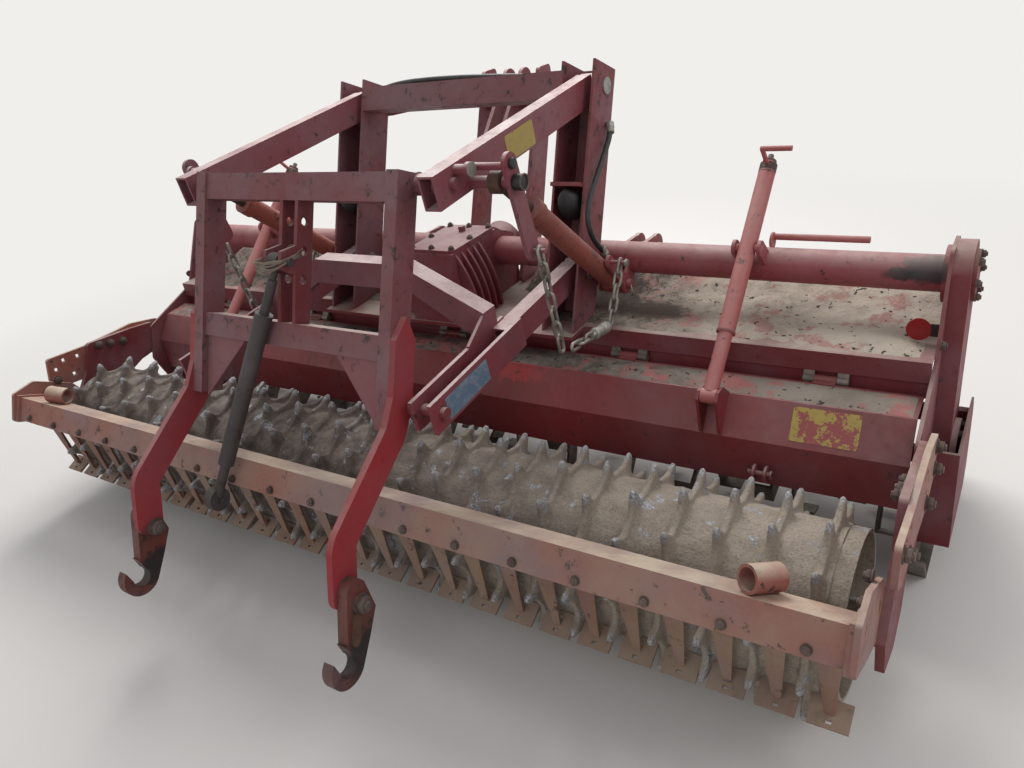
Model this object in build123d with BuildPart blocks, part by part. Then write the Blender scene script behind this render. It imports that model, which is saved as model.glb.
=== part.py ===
from build123d import *
import os
from math import atan2, cos, degrees, hypot, radians, sin

os.makedirs("parts", exist_ok=True)

# Rotary tiller with a toothed packer roller behind it and a lifting linkage for a seed drill on top.
# Millimetres. X runs across the machine, +Y is the way it is towed, +Z is up, the floor is z = 0.
# A place in the side view is a (y, z) pair. Most pieces come in twins, at +X and -X.

# Overall
body_half = 1560.0
lean = 23.6
running_gap = 0.08
machine_end = 976.0
guard_reach = 90.0
guard_half = body_half + guard_reach

# Packer roller
roller_y = -284.0
roller_z = 275.0
tip_radius = 275.0
root_radius = 219.0
drum_radius = 204.0
drum_wall = 9.0
drum_end_gap = 50.0
drum_half = body_half - drum_end_gap
ring_count = 26
ring_pitch = 115.5
ring_thickness = 13.0
teeth = 12
ring_stagger = 9.5
stub_radius = 30.0
drum_end_inset = 70.0
drum_end_plate = 12.0

# Hood and tailboard
deck_z = 665.0
deck_rear_y = 280.0
deck_front_y = 700.0
hood_front = (790.0, 560.0)
hood_lip_z = 420.0
hood_skirt = (290.0, 548.0)
sheet = 6.0
ridge_height = 60.0
ridge_thickness = 10.0
side_plate = 10.0
board_half = 1552.0
board_hang = (245.0, 579.3)
board_fold_1 = (140.0, 570.0)
board_fold_2 = (65.0, 473.0)
board_edge = (60.0, 340.0)
board_sheet = 6.0
hinge_y = 268.0
hinge_z = 580.0
hinge_pin_radius = 8.0
hinge_barrel = 13.0
hinge_knuckle = 60.0

# Rotor
rotor_y = 415.0
rotor_z = 290.0
rotor_radius = 262.0
rotor_tube_radius = 45.0
rotor_half = 1500.0
rotor_stub_radius = 28.0
rotor_flange_radius = 105.0
rotor_flange_count = 12
rotor_flange_pitch = 262.0
rotor_flange = 10.0
tines_per_flange = 3
tine_width = 62.0
tine_thickness = 9.0
tine_foot = 75.0

# Main tube and gearbox
tube_y = 510.0
tube_z = 818.0
tube_radius = 51.0
tube_flange_radius = 78.0
tube_flange = 14.0
gearbox_half = 100.0
gearbox_rear_y = 191.0
gearbox_front_y = 600.0
gearbox_top_z = 905.0
fin_count = 5
fin_pitch = 34.0
fin_thickness = 9.0
fin_reach = 60.0
shaft_radius = 17.46
journal_radius = 22.0
journal_reach = 4.0
shaft_z = 785.0
shaft_end_y = 880.0
nose_radius = 88.0
nose_length = 70.0
cover_plate = 12.0

# Lift linkage: the four pins of each side stand on two lines that lean by the same angle
lift_top = (603.0, 1350.0)
post_spacing = 580.0
arm_length = 820.0
arm_tilt = 5.2
pin_radius = 16.0
arm_x = 478.0
arm_width = 50.0
arm_height = 90.0
arm_wall = 6.0
arm_tail = 70.0
arm_boss = 40.0
channel_width = 118.0
channel_depth = 140.0
channel_wall = 8.0
channel_top = 62.0
pin_behind = 85.0
crossbar_height = 84.0
crossbar_depth = 60.0
lower_arm_height = 80.0
fork_plate = 12.0
fork_start = 400.0
fork_height = 90.0
fork_tail = 40.0
tube_end = 463.0

# Hitch frame for the seed drill
hitch_post_x = 376.0
hitch_post_width = 40.0
hitch_post_depth = 78.0
hitch_wall = 5.0
hitch_bar_depth = 60.0
leg_plate = 20.0
leg_width = 84.0
leg_bolt = (-827.0, 433.0)
hook_seat = (-918.0, 262.0)
hook_seat_radius = 28.0
hook_radius = machine_end + hook_seat[0]
hook_thickness = 34.0
link_top = (0.0, -405.5, 1116.2)
link_low = (-280.0, -672.0, 424.0)

# Lift cylinders and check chains
cylinder_x = 583.0
barrel_radius = 33.0
barrel_bore = 26.0
barrel_length = 590.0
rod_radius = 16.0
rod_eye_radius = 30.0
rod_eye_width = 34.0
cylinder_low = (441.0, 752.0)
cylinder_high = (-130.0, 1256.0)
clevis_gap = 5.0
rod_length = 700.0
lever_plate = 12.0
lever_width = 56.0
lever_top = (-137.0, 1305.0)
lever_low = (-90.0, 1062.0)
chain_x = 650.0
chain_end = (-47.0, 745.0)
turnbuckle_end = (229.0, 704.0)
chain_anchor = (335.0, 868.0)
link_width = 32.0
link_bar = 9.0
link_bite = 1.5
chain_pin_radius = 6.0
strand_gap = 5.0

# Scraper beam
beam_rear_top = (-579.0, 527.0)
beam_size = 90.0
beam_tilt = 25.7
beam_end_gap = 15.0
beam_half = body_half - beam_end_gap
beam_wall = 6.0
foot_width = 90.0
foot_length = 66.0
foot_plate = 8.0
foot_angle = 204.7
scraper_gap = 6.0
scraper_arm = 10.0
scraper_arm_top = 34.0
scraper_arm_low = 16.0

# Roller arms, and the plates that bolt them to the side plates
roller_arm = 20.0
adjuster = 15.0
bearing_radius = 62.0
bearing_length = 40.0

# Tailboard struts
strut_x = 1035.0
strut_low = (70.0, 594.0)
strut_high = (425.0, 899.0)
strut_radius = 25.0
strut_bore = 22.5
strut_rod_radius = 21.0
strut_rod_end = 420.0
strut_eye = 22.0
strut_ring = 7.0
strut_cap_radius = 19.0
strut_start = 193.0
strut_end = 718.0
strut_head = 40.0
strut_lug_gap = 64.0
strut_lug_width = 46.0
trunnion_radius = 12.0
lug = 10.0

# Front hitch
lower_pin_radius = 14.35
lower_shoulder_radius = 17.0
lower_stud = 66.0
lower_pin = (928.0, 700.0)
lower_pin_x = 484.0
lower_lug_gap = 56.0
upper_pin_radius = 12.7
upper_pin = (930.0, 1345.0)
mast_plate = 15.0
mast_gap = 54.0


def along(p, angle, run, rise=0.0):
    """The (y, z) point run along a direction at angle degrees above +Y, and rise square to it."""
    a = radians(angle)
    return (p[0] + run * cos(a) - rise * sin(a), p[1] + run * sin(a) + rise * cos(a))


def heading(p, q):
    """The angle of the way from p to q above +Y, in degrees."""
    return degrees(atan2(q[1] - p[1], q[0] - p[0]))


def gap(p, q):
    """The distance between two (y, z) points."""
    return hypot(q[0] - p[0], q[1] - p[1])


def span(side, near, far):
    """Where a piece from near to far on one side starts, so that it can be extruded towards +X."""
    return near if side > 0 else -far


def plate(points, x0, thickness, mode=Mode.ADD):
    """A flat plate with its outline in the side view."""
    with BuildSketch(Plane.YZ.offset(x0)) as outline:
        with BuildLine():
            Polyline(*points, close=True)
        make_face()
    extrude(outline.sketch, amount=thickness, mode=mode)


def rounded_plate(points, radius, x0, thickness):
    """A flat plate with all its corners rounded."""
    with BuildSketch(Plane.YZ.offset(x0)) as outline:
        with BuildLine():
            FilletPolyline(*points, radius=radius, close=True)
        make_face()
    extrude(outline.sketch, amount=thickness)


def disc(centre, radius, x0, length, mode=Mode.ADD):
    """A round bar, boss or hole across the machine."""
    with BuildSketch(Plane.YZ.offset(x0)) as round_face:
        with Locations(centre):
            Circle(radius)
    extrude(round_face.sketch, amount=length, mode=mode)


def bore(centre, radius, x0, length):
    """A hole across the machine."""
    disc(centre, radius, x0, length, mode=Mode.SUBTRACT)


def strip(points, width, x0, thickness, radius=0.0):
    """A flat bar of constant width that follows a line in the side view, with round ends."""
    with BuildSketch(Plane.YZ.offset(x0)) as outline:
        with BuildLine():
            if radius:
                FilletPolyline(*points, radius=radius)
            else:
                Polyline(*points)
            offset(amount=width / 2)
        make_face()
    extrude(outline.sketch, amount=thickness)


def across(p, q, x=0.0):
    """A plane square to the way from p to q in the side view, with its own x across the machine."""
    return Plane(origin=(x, p[0], p[1]), x_dir=(1, 0, 0), z_dir=(0, q[0] - p[0], q[1] - p[1]))


def box_tube(p, q, x, width, height, wall):
    """A straight rectangular tube from p to q at x, open at both ends."""
    with BuildSketch(across(p, q, x)) as section:
        Rectangle(width, height)
        Rectangle(width - 2 * wall, height - 2 * wall, mode=Mode.SUBTRACT)
    extrude(section.sketch, amount=gap(p, q))


def rod(p, q, x, radius, hole=0.0):
    """A straight round bar or tube from p to q at x."""
    with BuildSketch(across(p, q, x)) as section:
        Circle(radius)
        if hole:
            Circle(hole, mode=Mode.SUBTRACT)
    extrude(section.sketch, amount=gap(p, q))


def cross_tube(centre, angle, depth, height, wall, half):
    """A rectangular tube across the machine, turned by angle in the side view."""
    with BuildSketch(Plane.YZ.offset(-half)) as section:
        with Locations(Location((centre[0], centre[1], 0), (0, 0, angle))):
            Rectangle(depth, height)
            Rectangle(depth - 2 * wall, height - 2 * wall, mode=Mode.SUBTRACT)
    extrude(section.sketch, amount=2 * half)


def chain_run(p, q, x, count):
    """Links from p to q, each turned a quarter from the one before, each bearing on the next."""
    pitch = gap(p, q) / count
    way = Vector(0, q[0] - p[0], q[1] - p[1]).normalized()
    side_way = Vector(1, 0, 0)
    other_way = way.cross(side_way)
    for i in range(count):
        centre = Vector(x, p[0], p[1]) + way * (pitch * (i + 0.5))
        normal = side_way if i % 2 == 0 else other_way
        with BuildSketch(Plane(origin=centre - normal * (link_bar / 2), x_dir=way, z_dir=normal)) as link:
            for thick, mode in ((link_bar, Mode.ADD), (0.0, Mode.SUBTRACT)):
                a = (pitch - link_bite) / 2 + thick
                b = link_width / 2 - link_bar + thick
                c = b / 2
                half = [(a, b - c), (a - c, b), (c - a, b), (-a, b - c)]
                with BuildLine():
                    Polyline(*half, *[(-u, -v) for u, v in half], close=True)
                make_face(mode=mode)
        extrude(link.sketch, amount=link_bar)


def write(part, name):
    """Label a finished piece and export it."""
    part.label = name
    export_step(part, f"parts/{name}.step")


# Places that follow from the sizes above
up = 90.0 - lean
forward = -lean
lift_low = along(lift_top, up, -post_spacing)
hitch_top = along(lift_top, arm_tilt, -arm_length)
hitch_low = along(lift_low, arm_tilt, -arm_length)
arm_way = 180.0 + arm_tilt
arm_inner_x = arm_x - arm_width / 2
arm_outer_x = arm_x + arm_width / 2
channel_inner_x = arm_x - channel_width / 2
channel_outer_x = arm_x + channel_width / 2
post_inner_x = hitch_post_x - hitch_post_width / 2
post_outer_x = hitch_post_x + hitch_post_width / 2
outer_x = body_half + side_plate
arm_plate_x = outer_x + roller_arm
pin_hole = pin_radius + running_gap
ring_half = (ring_count - 1) * ring_pitch / 2
clevis_x = cylinder_x + barrel_radius + clevis_gap
turnbuckle_x = chain_x + link_bar + strand_gap
eye_half = rod_eye_width / 2
beam_angle = -beam_tilt
beam_centre = along(beam_rear_top, beam_angle, beam_size / 2, -beam_size / 2)
SIDES = (-1, 1)


def on_post(top, down, ahead):
    """A point of a leaning post: down from its top pin, and ahead of the line of its pins."""
    return along(top, forward, ahead, -down)


# Hood over the rotor: the deck, the nose that slopes down in front and the skirt behind the hinges
skirt_step = hood_skirt[0] - deck_rear_y
skirt_bend_z = deck_z - ridge_height
with BuildPart() as hood:
    hood_outline = [
        (deck_rear_y + sheet, deck_z - sheet),
        (deck_rear_y + sheet, skirt_bend_z + sheet / 2),
        (hood_skirt[0] + sheet, skirt_bend_z - skirt_step),
        (hood_skirt[0] + sheet, hood_skirt[1]),
        hood_skirt,
        (hood_skirt[0], skirt_bend_z - skirt_step - sheet / 2),
        (deck_rear_y, skirt_bend_z),
        (deck_rear_y, deck_z),
        (deck_front_y, deck_z),
        hood_front,
        (hood_front[0], hood_lip_z),
        (hood_front[0] - sheet, hood_lip_z),
        (hood_front[0] - sheet, hood_front[1] - sheet / 2),
        (deck_front_y - sheet / 2, deck_z - sheet),
    ]
    plate(hood_outline, -body_half, 2 * body_half)
write(hood.part, "hood")

# Ridge bar along the hood's rear edge, which carries the tailboard's hinges
ridge_rear_y = deck_rear_y - ridge_thickness
ridge_low_z = deck_z - ridge_height
with BuildPart() as hood_ridge:
    ridge = [(deck_rear_y, ridge_low_z), (deck_rear_y, deck_z)]
    ridge += [(ridge_rear_y, deck_z), (ridge_rear_y, ridge_low_z)]
    plate(ridge, -body_half, 2 * body_half)
write(hood_ridge.part, "hood_ridge")

# Plate behind the ridge that carries the gearbox and the feet of the lift posts
rear_deck_half = 545.0
rear_deck_y = 185.0
rear_deck = 12.0
with BuildPart() as centre_deck:
    deck_low_z = deck_z - rear_deck
    deck = [(rear_deck_y, deck_low_z), (rear_deck_y, deck_z)]
    deck += [(ridge_rear_y, deck_z), (ridge_rear_y, deck_low_z)]
    plate(deck, -rear_deck_half, 2 * rear_deck_half)
write(centre_deck.part, "centre_deck")

# Side plates close the hood's ends and carry the tube, the rotor and the skids
side_outline = [
    (5.0, 408.0),
    (50.0, 548.0),
    (305.0, 645.0),
    (tube_y - 105.0, tube_z + 10.0),
    (tube_y - 60.0, tube_z + 90.0),
    (tube_y + 60.0, tube_z + 90.0),
    (tube_y + 105.0, tube_z + 10.0),
    (deck_front_y + 20.0, deck_z),
    (hood_front[0] + 12.0, hood_front[1]),
    (hood_front[0] + 12.0, 190.0),
    (hood_front[0] - 90.0, 70.0),
    (190.0, 70.0),
    (60.0, 250.0),
]
with BuildPart() as side_plates:
    for side in SIDES:
        rounded_plate(side_outline, 20.0, span(side, body_half, outer_x), side_plate)
        bore((rotor_y, rotor_z), rotor_stub_radius + 10.0, span(side, body_half, outer_x), side_plate)
write(side_plates.part, "side_plates")

# Skids under the side plates
skid_width = 64.0
skid_plate = 12.0
skid_line = [(120.0, 120.0), (215.0, 0.0), (690.0, 0.0), (795.0, 120.0)]
with BuildPart() as side_skids:
    for side in SIDES:
        near = body_half - 20.0
        inner = [(132.0, 124.0), (221.0, skid_plate), (684.0, skid_plate), (783.0, 124.0)]
        plate(skid_line + inner[::-1], span(side, near, near + skid_width), skid_width)
        web = [(222.0, skid_plate), (683.0, skid_plate), (734.0, 70.0), (176.0, 70.0)]
        plate(web, span(side, body_half, outer_x), side_plate)
write(side_skids.part, "side_skids")

# Main tube in two halves, from the gearbox to each side plate, with the lugs welded on it
cylinder_lugs = (cylinder_x - barrel_radius - clevis_gap - lug, clevis_x)
strut_lugs = (strut_x - strut_lug_gap / 2 - lug, strut_x + strut_lug_gap / 2)
with BuildPart() as main_tube:
    for side in SIDES:
        length = body_half - gearbox_half
        disc((tube_y, tube_z), tube_radius, span(side, gearbox_half, body_half), length)
        near = span(side, body_half - tube_flange, body_half)
        disc((tube_y, tube_z), tube_flange_radius, near, tube_flange)
        for x in cylinder_lugs:
            strip([(tube_y, tube_z), cylinder_low], 64.0, span(side, x, x + lug), lug)
        for x in strut_lugs:
            strip([(tube_y, tube_z), strut_high], strut_lug_width, span(side, x, x + lug), lug)
            bore(strut_high, trunnion_radius + running_gap, span(side, x, x + lug), lug)
        strip([cylinder_low, chain_anchor], 40.0, span(side, clevis_x, clevis_x + lug), lug)
        near = cylinder_lugs[0]
        disc(cylinder_low, pin_radius, span(side, near - 10.0, clevis_x + 24.0), clevis_x + 34.0 - near)
        near = clevis_x + 1.0
        far = turnbuckle_x + 18.0
        disc(chain_anchor, chain_pin_radius, span(side, near, far), far - near)
write(main_tube.part, "main_tube")

# Gearbox with its cooling fins and the round nose that the input shaft comes out of
with BuildPart() as gearbox:
    gearbox_outline = [
        (gearbox_rear_y, deck_z),
        (gearbox_rear_y, gearbox_top_z - 90.0),
        (gearbox_rear_y + 30.0, gearbox_top_z),
        (gearbox_front_y - 110.0, gearbox_top_z),
        (gearbox_front_y, gearbox_top_z - 50.0),
        (gearbox_front_y, deck_z),
    ]
    plate(gearbox_outline, -gearbox_half, 2 * gearbox_half)
    for i in range(fin_count):
        fin_y = gearbox_rear_y + 45.0 + fin_pitch * i
        with BuildSketch(Plane.XZ.offset(-fin_y)) as fin:
            with BuildLine():
                Line((gearbox_half, deck_z), (gearbox_half + fin_reach, deck_z))
                ThreePointArc(
                    (gearbox_half + fin_reach, deck_z),
                    (gearbox_half + 0.65 * fin_reach, deck_z + 0.65 * (gearbox_top_z - deck_z)),
                    (gearbox_half, gearbox_top_z - 8.0),
                )
                Line((gearbox_half, gearbox_top_z - 8.0), (gearbox_half, deck_z))
            make_face()
            mirror(about=Plane.YZ)
        extrude(fin.sketch, amount=-fin_thickness)
    with BuildSketch(Plane.XZ.offset(-gearbox_front_y)) as nose:
        with Locations((0, shaft_z)):
            Circle(nose_radius)
            Circle(journal_radius + running_gap, mode=Mode.SUBTRACT)
    extrude(nose.sketch, amount=-nose_length)
write(gearbox.part, "gearbox")

# Flat cover on the gearbox with its filler plug
with BuildPart() as gearbox_cover:
    cover_rear = gearbox_rear_y + 34.0
    cover_front = gearbox_front_y - 114.0
    with BuildSketch(Plane.XY.offset(gearbox_top_z)) as lid:
        with Locations((0, (cover_rear + cover_front) / 2)):
            RectangleRounded(2 * gearbox_half, cover_front - cover_rear, 18.0)
    extrude(lid.sketch, amount=cover_plate)
    with BuildSketch(Plane.XY.offset(gearbox_top_z + cover_plate)) as plug:
        with Locations((0, cover_front - 60.0)):
            RegularPolygon(14.0, 6)
    extrude(plug.sketch, amount=18.0)
write(gearbox_cover.part, "gearbox_cover")

# Input shaft: its journal runs in the nose, and its thinner end takes the drive shaft's yoke
journal_end_y = gearbox_front_y + nose_length + journal_reach
shaft_steps = (
    (gearbox_front_y + 0.3, journal_end_y, journal_radius),
    (journal_end_y, shaft_end_y, shaft_radius),
)
with BuildPart() as input_shaft:
    for start_y, end_y, radius in shaft_steps:
        with BuildSketch(Plane.XZ.offset(-start_y)) as round_end:
            with Locations((0, shaft_z)):
                Circle(radius)
        extrude(round_end.sketch, amount=start_y - end_y)
    chamfer(input_shaft.edges().sort_by(Axis.Y)[-1], 2.0)
write(input_shaft.part, "input_shaft")

# Lift posts: two leaning channels, open to the rear, that stand on the deck
channel_mid = channel_depth / 2 - pin_behind
with BuildPart() as lift_posts:
    for side in SIDES:
        foot = on_post(lift_top, post_spacing + 290.0, channel_mid)
        head = on_post(lift_top, -channel_top, channel_mid)
        with BuildSketch(across(foot, head, side * arm_x)) as section:
            Rectangle(channel_width, channel_depth)
            with Locations((0, -channel_wall)):
                Rectangle(channel_width - 2 * channel_wall, channel_depth, mode=Mode.SUBTRACT)
        extrude(section.sketch, amount=gap(foot, head))
    with BuildSketch(Plane.XY.offset(deck_z)) as below_deck:
        Rectangle(4 * arm_x, 4 * machine_end)
    extrude(below_deck.sketch, amount=-deck_z, mode=Mode.SUBTRACT)
    for side in SIDES:
        for centre in (lift_top, lift_low):
            bore(centre, pin_hole, span(side, channel_inner_x, channel_outer_x), channel_width)
write(lift_posts.part, "lift_posts")

# Pins of the lift posts, each with a round head outside
pin_head = 5.0
with BuildPart() as lift_pins:
    for side in SIDES:
        for centre in (lift_top, lift_low):
            near = channel_inner_x - 8.0
            length = channel_width + 8.0
            disc(centre, pin_radius, span(side, near, near + length), length)
            disc(centre, 26.0, span(side, channel_outer_x, channel_outer_x + pin_head), pin_head)
write(lift_pins.part, "lift_pins")

# Crossbar between the tops of the lift posts
with BuildPart() as lift_crossbar:
    bar_at = on_post(lift_top, 8.0, crossbar_depth / 2 - pin_behind)
    cross_tube(bar_at, forward, crossbar_depth, crossbar_height, hitch_wall, channel_inner_x)
write(lift_crossbar.part, "lift_crossbar")

# Stop shelves across the channels, and the round rubber stops below them
shelf = 12.0
shelf_down = 312.0
stop_radius = 40.0
stop_length = 110.0
channel_clear = channel_width - 2 * channel_wall
web_ahead = channel_depth - pin_behind - channel_wall
with BuildPart() as stop_shelves:
    for side in SIDES:
        corners = [(shelf_down, -pin_behind - 30.0), (shelf_down, web_ahead)]
        corners += [(shelf_down + shelf, web_ahead), (shelf_down + shelf, -pin_behind - 30.0)]
        points = [on_post(lift_top, down, ahead) for down, ahead in corners]
        near = channel_inner_x + channel_wall
        plate(points, span(side, near, near + channel_clear), channel_clear)
write(stop_shelves.part, "stop_shelves")

with BuildPart() as rubber_stops:
    for side in SIDES:
        top = on_post(lift_top, shelf_down + shelf, -pin_behind + 18.0)
        low = on_post(lift_top, shelf_down + shelf + stop_length, -pin_behind + 18.0)
        with BuildSketch(across(top, low, side * arm_x)) as stop:
            Circle(stop_radius)
        extrude(stop.sketch, amount=stop_length, taper=6)
write(rubber_stops.part, "rubber_stops")

# Front hitch: the mast's two plates, its braces back to the lift posts, and the lower brackets
mast_outline = [
    (560.0, deck_z),
    (690.0, deck_z),
    (upper_pin[0] + 38.0, upper_pin[1] - 30.0),
    (upper_pin[0] + 38.0, upper_pin[1] + 40.0),
    (upper_pin[0] - 40.0, upper_pin[1] + 40.0),
]
mast_x = gearbox_half + 14.0
with BuildPart() as mast:
    for side in SIDES:
        rounded_plate(mast_outline, 18.0, span(side, mast_x, mast_x + mast_plate), mast_plate)
        ear = [(upper_pin[0] - 200.0, upper_pin[1] - 190.0), upper_pin]
        strip(ear, 76.0, span(side, mast_gap / 2, mast_gap / 2 + mast_plate), mast_plate)
        near = mast_gap / 2 + mast_plate
        disc(along(upper_pin, up, -90.0), 26.0, span(side, near, mast_x), mast_x - near)
    near = mast_gap / 2
    for side in SIDES:
        far = mast_x + mast_plate
        bore(upper_pin, upper_pin_radius + 0.3, span(side, near, far), far - near)
write(mast.part, "mast")

brace_size = 50.0
mast_outer_x = mast_x + mast_plate
with BuildPart() as mast_braces:
    for side in SIDES:
        inside_post = on_post(lift_top, 20.0, channel_depth - pin_behind - 10.0)
        start = Vector(side * (channel_inner_x + 20.0), *inside_post)
        end = Vector(side * (mast_outer_x - brace_size), upper_pin[0] - 25.0, upper_pin[1] - 10.0)
        with BuildSketch(Plane(origin=start, z_dir=end - start)) as bar:
            Rectangle(brace_size, brace_size)
        extrude(bar.sketch, amount=(end - start).length)
    post_face = Plane(
        origin=(0, *on_post(lift_top, 0.0, channel_depth - pin_behind)),
        x_dir=(1, 0, 0),
        z_dir=(0, *along((0, 0), forward, -1.0)),
    )
    with BuildSketch(post_face) as behind:
        Rectangle(4 * arm_x, 2 * post_spacing)
    extrude(behind.sketch, amount=2 * channel_depth, mode=Mode.SUBTRACT)
    mast_top_z = 1500.0
    between_plates = [(330.0, deck_z), (machine_end, deck_z), (machine_end, mast_top_z), (330.0, mast_top_z)]
    plate(between_plates, -mast_outer_x, 2 * mast_outer_x, mode=Mode.SUBTRACT)
write(mast_braces.part, "mast_braces")

lower_outline = [
    (deck_front_y - 60.0, deck_z),
    (deck_front_y - 60.0, deck_z + 95.0),
    (lower_pin[0] - 20.0, lower_pin[1] + 48.0),
    (lower_pin[0], lower_pin[1]),
    (lower_pin[0] - 30.0, lower_pin[1] - 50.0),
    (hood_front[0], hood_front[1] - 20.0),
    hood_front,
    (deck_front_y, deck_z),
]
lower_lugs = (lower_pin_x - lower_lug_gap / 2 - mast_plate, lower_pin_x + lower_lug_gap / 2)
with BuildPart() as lower_link_brackets:
    for side in SIDES:
        for x in lower_lugs:
            plate(lower_outline, span(side, x, x + mast_plate), mast_plate)
            disc(lower_pin, machine_end - lower_pin[0], span(side, x, x + mast_plate), mast_plate)
            bore(lower_pin, lower_shoulder_radius + 0.15, span(side, x, x + mast_plate), mast_plate)
write(lower_link_brackets.part, "lower_link_brackets")

# Lower link pins: a shoulder through both lugs, and a thinner stud outside them for the tractor's ball
with BuildPart() as lower_link_pins:
    for side in SIDES:
        near = lower_lugs[0] - 14.0
        shoulder_end = lower_lugs[1] + mast_plate + 3.0
        disc(lower_pin, lower_shoulder_radius, span(side, near, shoulder_end), shoulder_end - near)
        disc(lower_pin, lower_pin_radius, span(side, shoulder_end, shoulder_end + lower_stud), lower_stud)
write(lower_link_pins.part, "lower_link_pins")

# Roller arms, with the bearings of the roller, and the perforated plates outside them
arm_outline = [
    (70.0, 470.0),
    (70.0, 560.0),
    (-40.0, 577.0),
    (-240.0, 597.0),
    (-292.0, 490.0),
    (-421.0, 330.0),
    (-405.0, 235.0),
    (-284.0, 200.0),
    (-190.0, 240.0),
    (-110.0, 400.0),
]
with BuildPart() as roller_arms:
    for side in SIDES:
        rounded_plate(arm_outline, 16.0, span(side, outer_x, arm_plate_x), roller_arm)
write(roller_arms.part, "roller_arms")

with BuildPart() as roller_bearings:
    for side in SIDES:
        near = outer_x - bearing_length
        disc((roller_y, roller_z), bearing_radius, span(side, near, outer_x), bearing_length)
        bore((roller_y, roller_z), stub_radius + running_gap, span(side, near, outer_x), bearing_length)
write(roller_bearings.part, "roller_bearings")

adjuster_outline = [
    (110.0, 440.0),
    (110.0, 560.0),
    (-20.0, 590.0),
    (-245.0, 588.0),
    (-412.0, 604.0),
    (-436.0, 510.0),
    (-372.0, 468.0),
    (-200.0, 450.0),
    (-20.0, 420.0),
]
adjuster_hole = 17.0
adjuster_holes = (
    (-350.0, 572.0),
    (-290.0, 563.0),
    (-392.0, 548.0),
    (-330.0, 500.0),
    (-58.0, 550.0),
    (-58.0, 490.0),
)
with BuildPart() as adjuster_plates:
    for side in SIDES:
        rounded_plate(adjuster_outline, 16.0, span(side, arm_plate_x, arm_plate_x + adjuster), adjuster)
        with BuildSketch(Plane.YZ.offset(span(side, arm_plate_x, arm_plate_x + adjuster))) as holes:
            with Locations(*adjuster_holes):
                Rectangle(adjuster_hole, adjuster_hole)
        extrude(holes.sketch, amount=adjuster, mode=Mode.SUBTRACT)
write(adjuster_plates.part, "adjuster_plates")

# Scraper beam behind the roller, its end brackets and the pipe sleeves on top of it
with BuildPart() as scraper_beam:
    cross_tube(beam_centre, beam_angle, beam_size, beam_size, beam_wall, beam_half)
write(scraper_beam.part, "scraper_beam")

end_plate = 12.0
bracket_outline = [
    (-640.0, 448.0),
    (-596.0, 548.0),
    (-507.0, 560.0),
    (-372.0, 482.0),
    (-335.0, 420.0),
    (-400.0, 330.0),
    (-500.0, 372.0),
]
with BuildPart() as beam_brackets:
    for side in SIDES:
        with BuildSketch(Plane.YZ.offset(span(side, beam_half, beam_half + end_plate))) as end_face:
            with Locations(Location((beam_centre[0], beam_centre[1], 0), (0, 0, beam_angle))):
                Rectangle(beam_size + 22.0, beam_size + 16.0)
        extrude(end_face.sketch, amount=end_plate)
        near = beam_half + end_plate
        rounded_plate(bracket_outline, 12.0, span(side, near, outer_x), outer_x - near)
write(beam_brackets.part, "beam_brackets")

# Each sleeve as the side it is on, and how far it is turned from the X axis
sleeve_x = 1361.0
sleeve_radius = 32.0
sleeve_bore = 25.0
sleeve_length = 84.0
sleeve_lift = 0.35
sleeve_turns = ((1, 57.0), (-1, 16.0))
sleeve_y, sleeve_z = along(beam_rear_top, beam_angle, 0.55 * beam_size, sleeve_radius + sleeve_lift)
with BuildPart() as beam_sleeves:
    for side, turn in sleeve_turns:
        lie = Plane(origin=(side * sleeve_x, sleeve_y, sleeve_z), x_dir=(1, 0, 0), z_dir=(0, 0, 1))
        lie = lie.rotated((beam_angle, 0, 0))
        way = lie.x_dir * cos(radians(turn)) + lie.y_dir * sin(radians(turn))
        with BuildSketch(Plane(origin=lie.origin - way * (sleeve_length / 2), z_dir=way)) as pipe:
            Circle(sleeve_radius)
            Circle(sleeve_bore, mode=Mode.SUBTRACT)
        extrude(pipe.sketch, amount=sleeve_length)
write(beam_sleeves.part, "beam_sleeves")

# Scrapers: a tapered arm under the beam and a square foot against the drum, in every gap of the rings
foot_middle = drum_radius + scraper_gap + foot_length / 2
foot_at = along((roller_y, roller_z), foot_angle, foot_middle)
arm_from = along(beam_rear_top, beam_angle, 0.78 * beam_size, -beam_size / 2)
arm_drop = gap(arm_from, foot_at)
arm_dir = (0, foot_at[0] - arm_from[0], foot_at[1] - arm_from[1])
with BuildPart() as scrapers:
    for i in range(ring_count + 1):
        x = (i - ring_count / 2) * ring_pitch
        face = Plane(origin=(x, *arm_from), x_dir=(1, 0, 0), z_dir=(0, -arm_dir[2], arm_dir[1]))
        with BuildSketch(face) as arm:
            with BuildLine():
                Polyline(
                    (-scraper_arm_top / 2, 0),
                    (scraper_arm_top / 2, 0),
                    (scraper_arm_low / 2, arm_drop),
                    (-scraper_arm_low / 2, arm_drop),
                    close=True,
                )
            make_face()
        extrude(arm.sketch, amount=scraper_arm / 2, both=True)
        lie = Plane(origin=(x, *foot_at), x_dir=(1, 0, 0), z_dir=(0, *along((0, 0), foot_angle, 0.0, -1.0)))
        with BuildSketch(lie) as foot:
            Rectangle(foot_width, foot_length)
            with Locations((0, -foot_length / 2 + 14.0), (0, foot_length / 2 - 14.0)):
                Rectangle(14.0, 8.0, mode=Mode.SUBTRACT)
        extrude(foot.sketch, amount=foot_plate / 2, both=True)
    with BuildSketch(Plane.YZ.offset(-beam_half)) as beam_section:
        with Locations(Location((beam_centre[0], beam_centre[1], 0), (0, 0, beam_angle))):
            Rectangle(beam_size, beam_size)
    extrude(beam_section.sketch, amount=2 * beam_half, mode=Mode.SUBTRACT)
write(scrapers.part, "scrapers")

# Packer roller: the open drum with its end plates and stub shafts, and a toothed ring in each place
step = 360.0 / teeth


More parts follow.
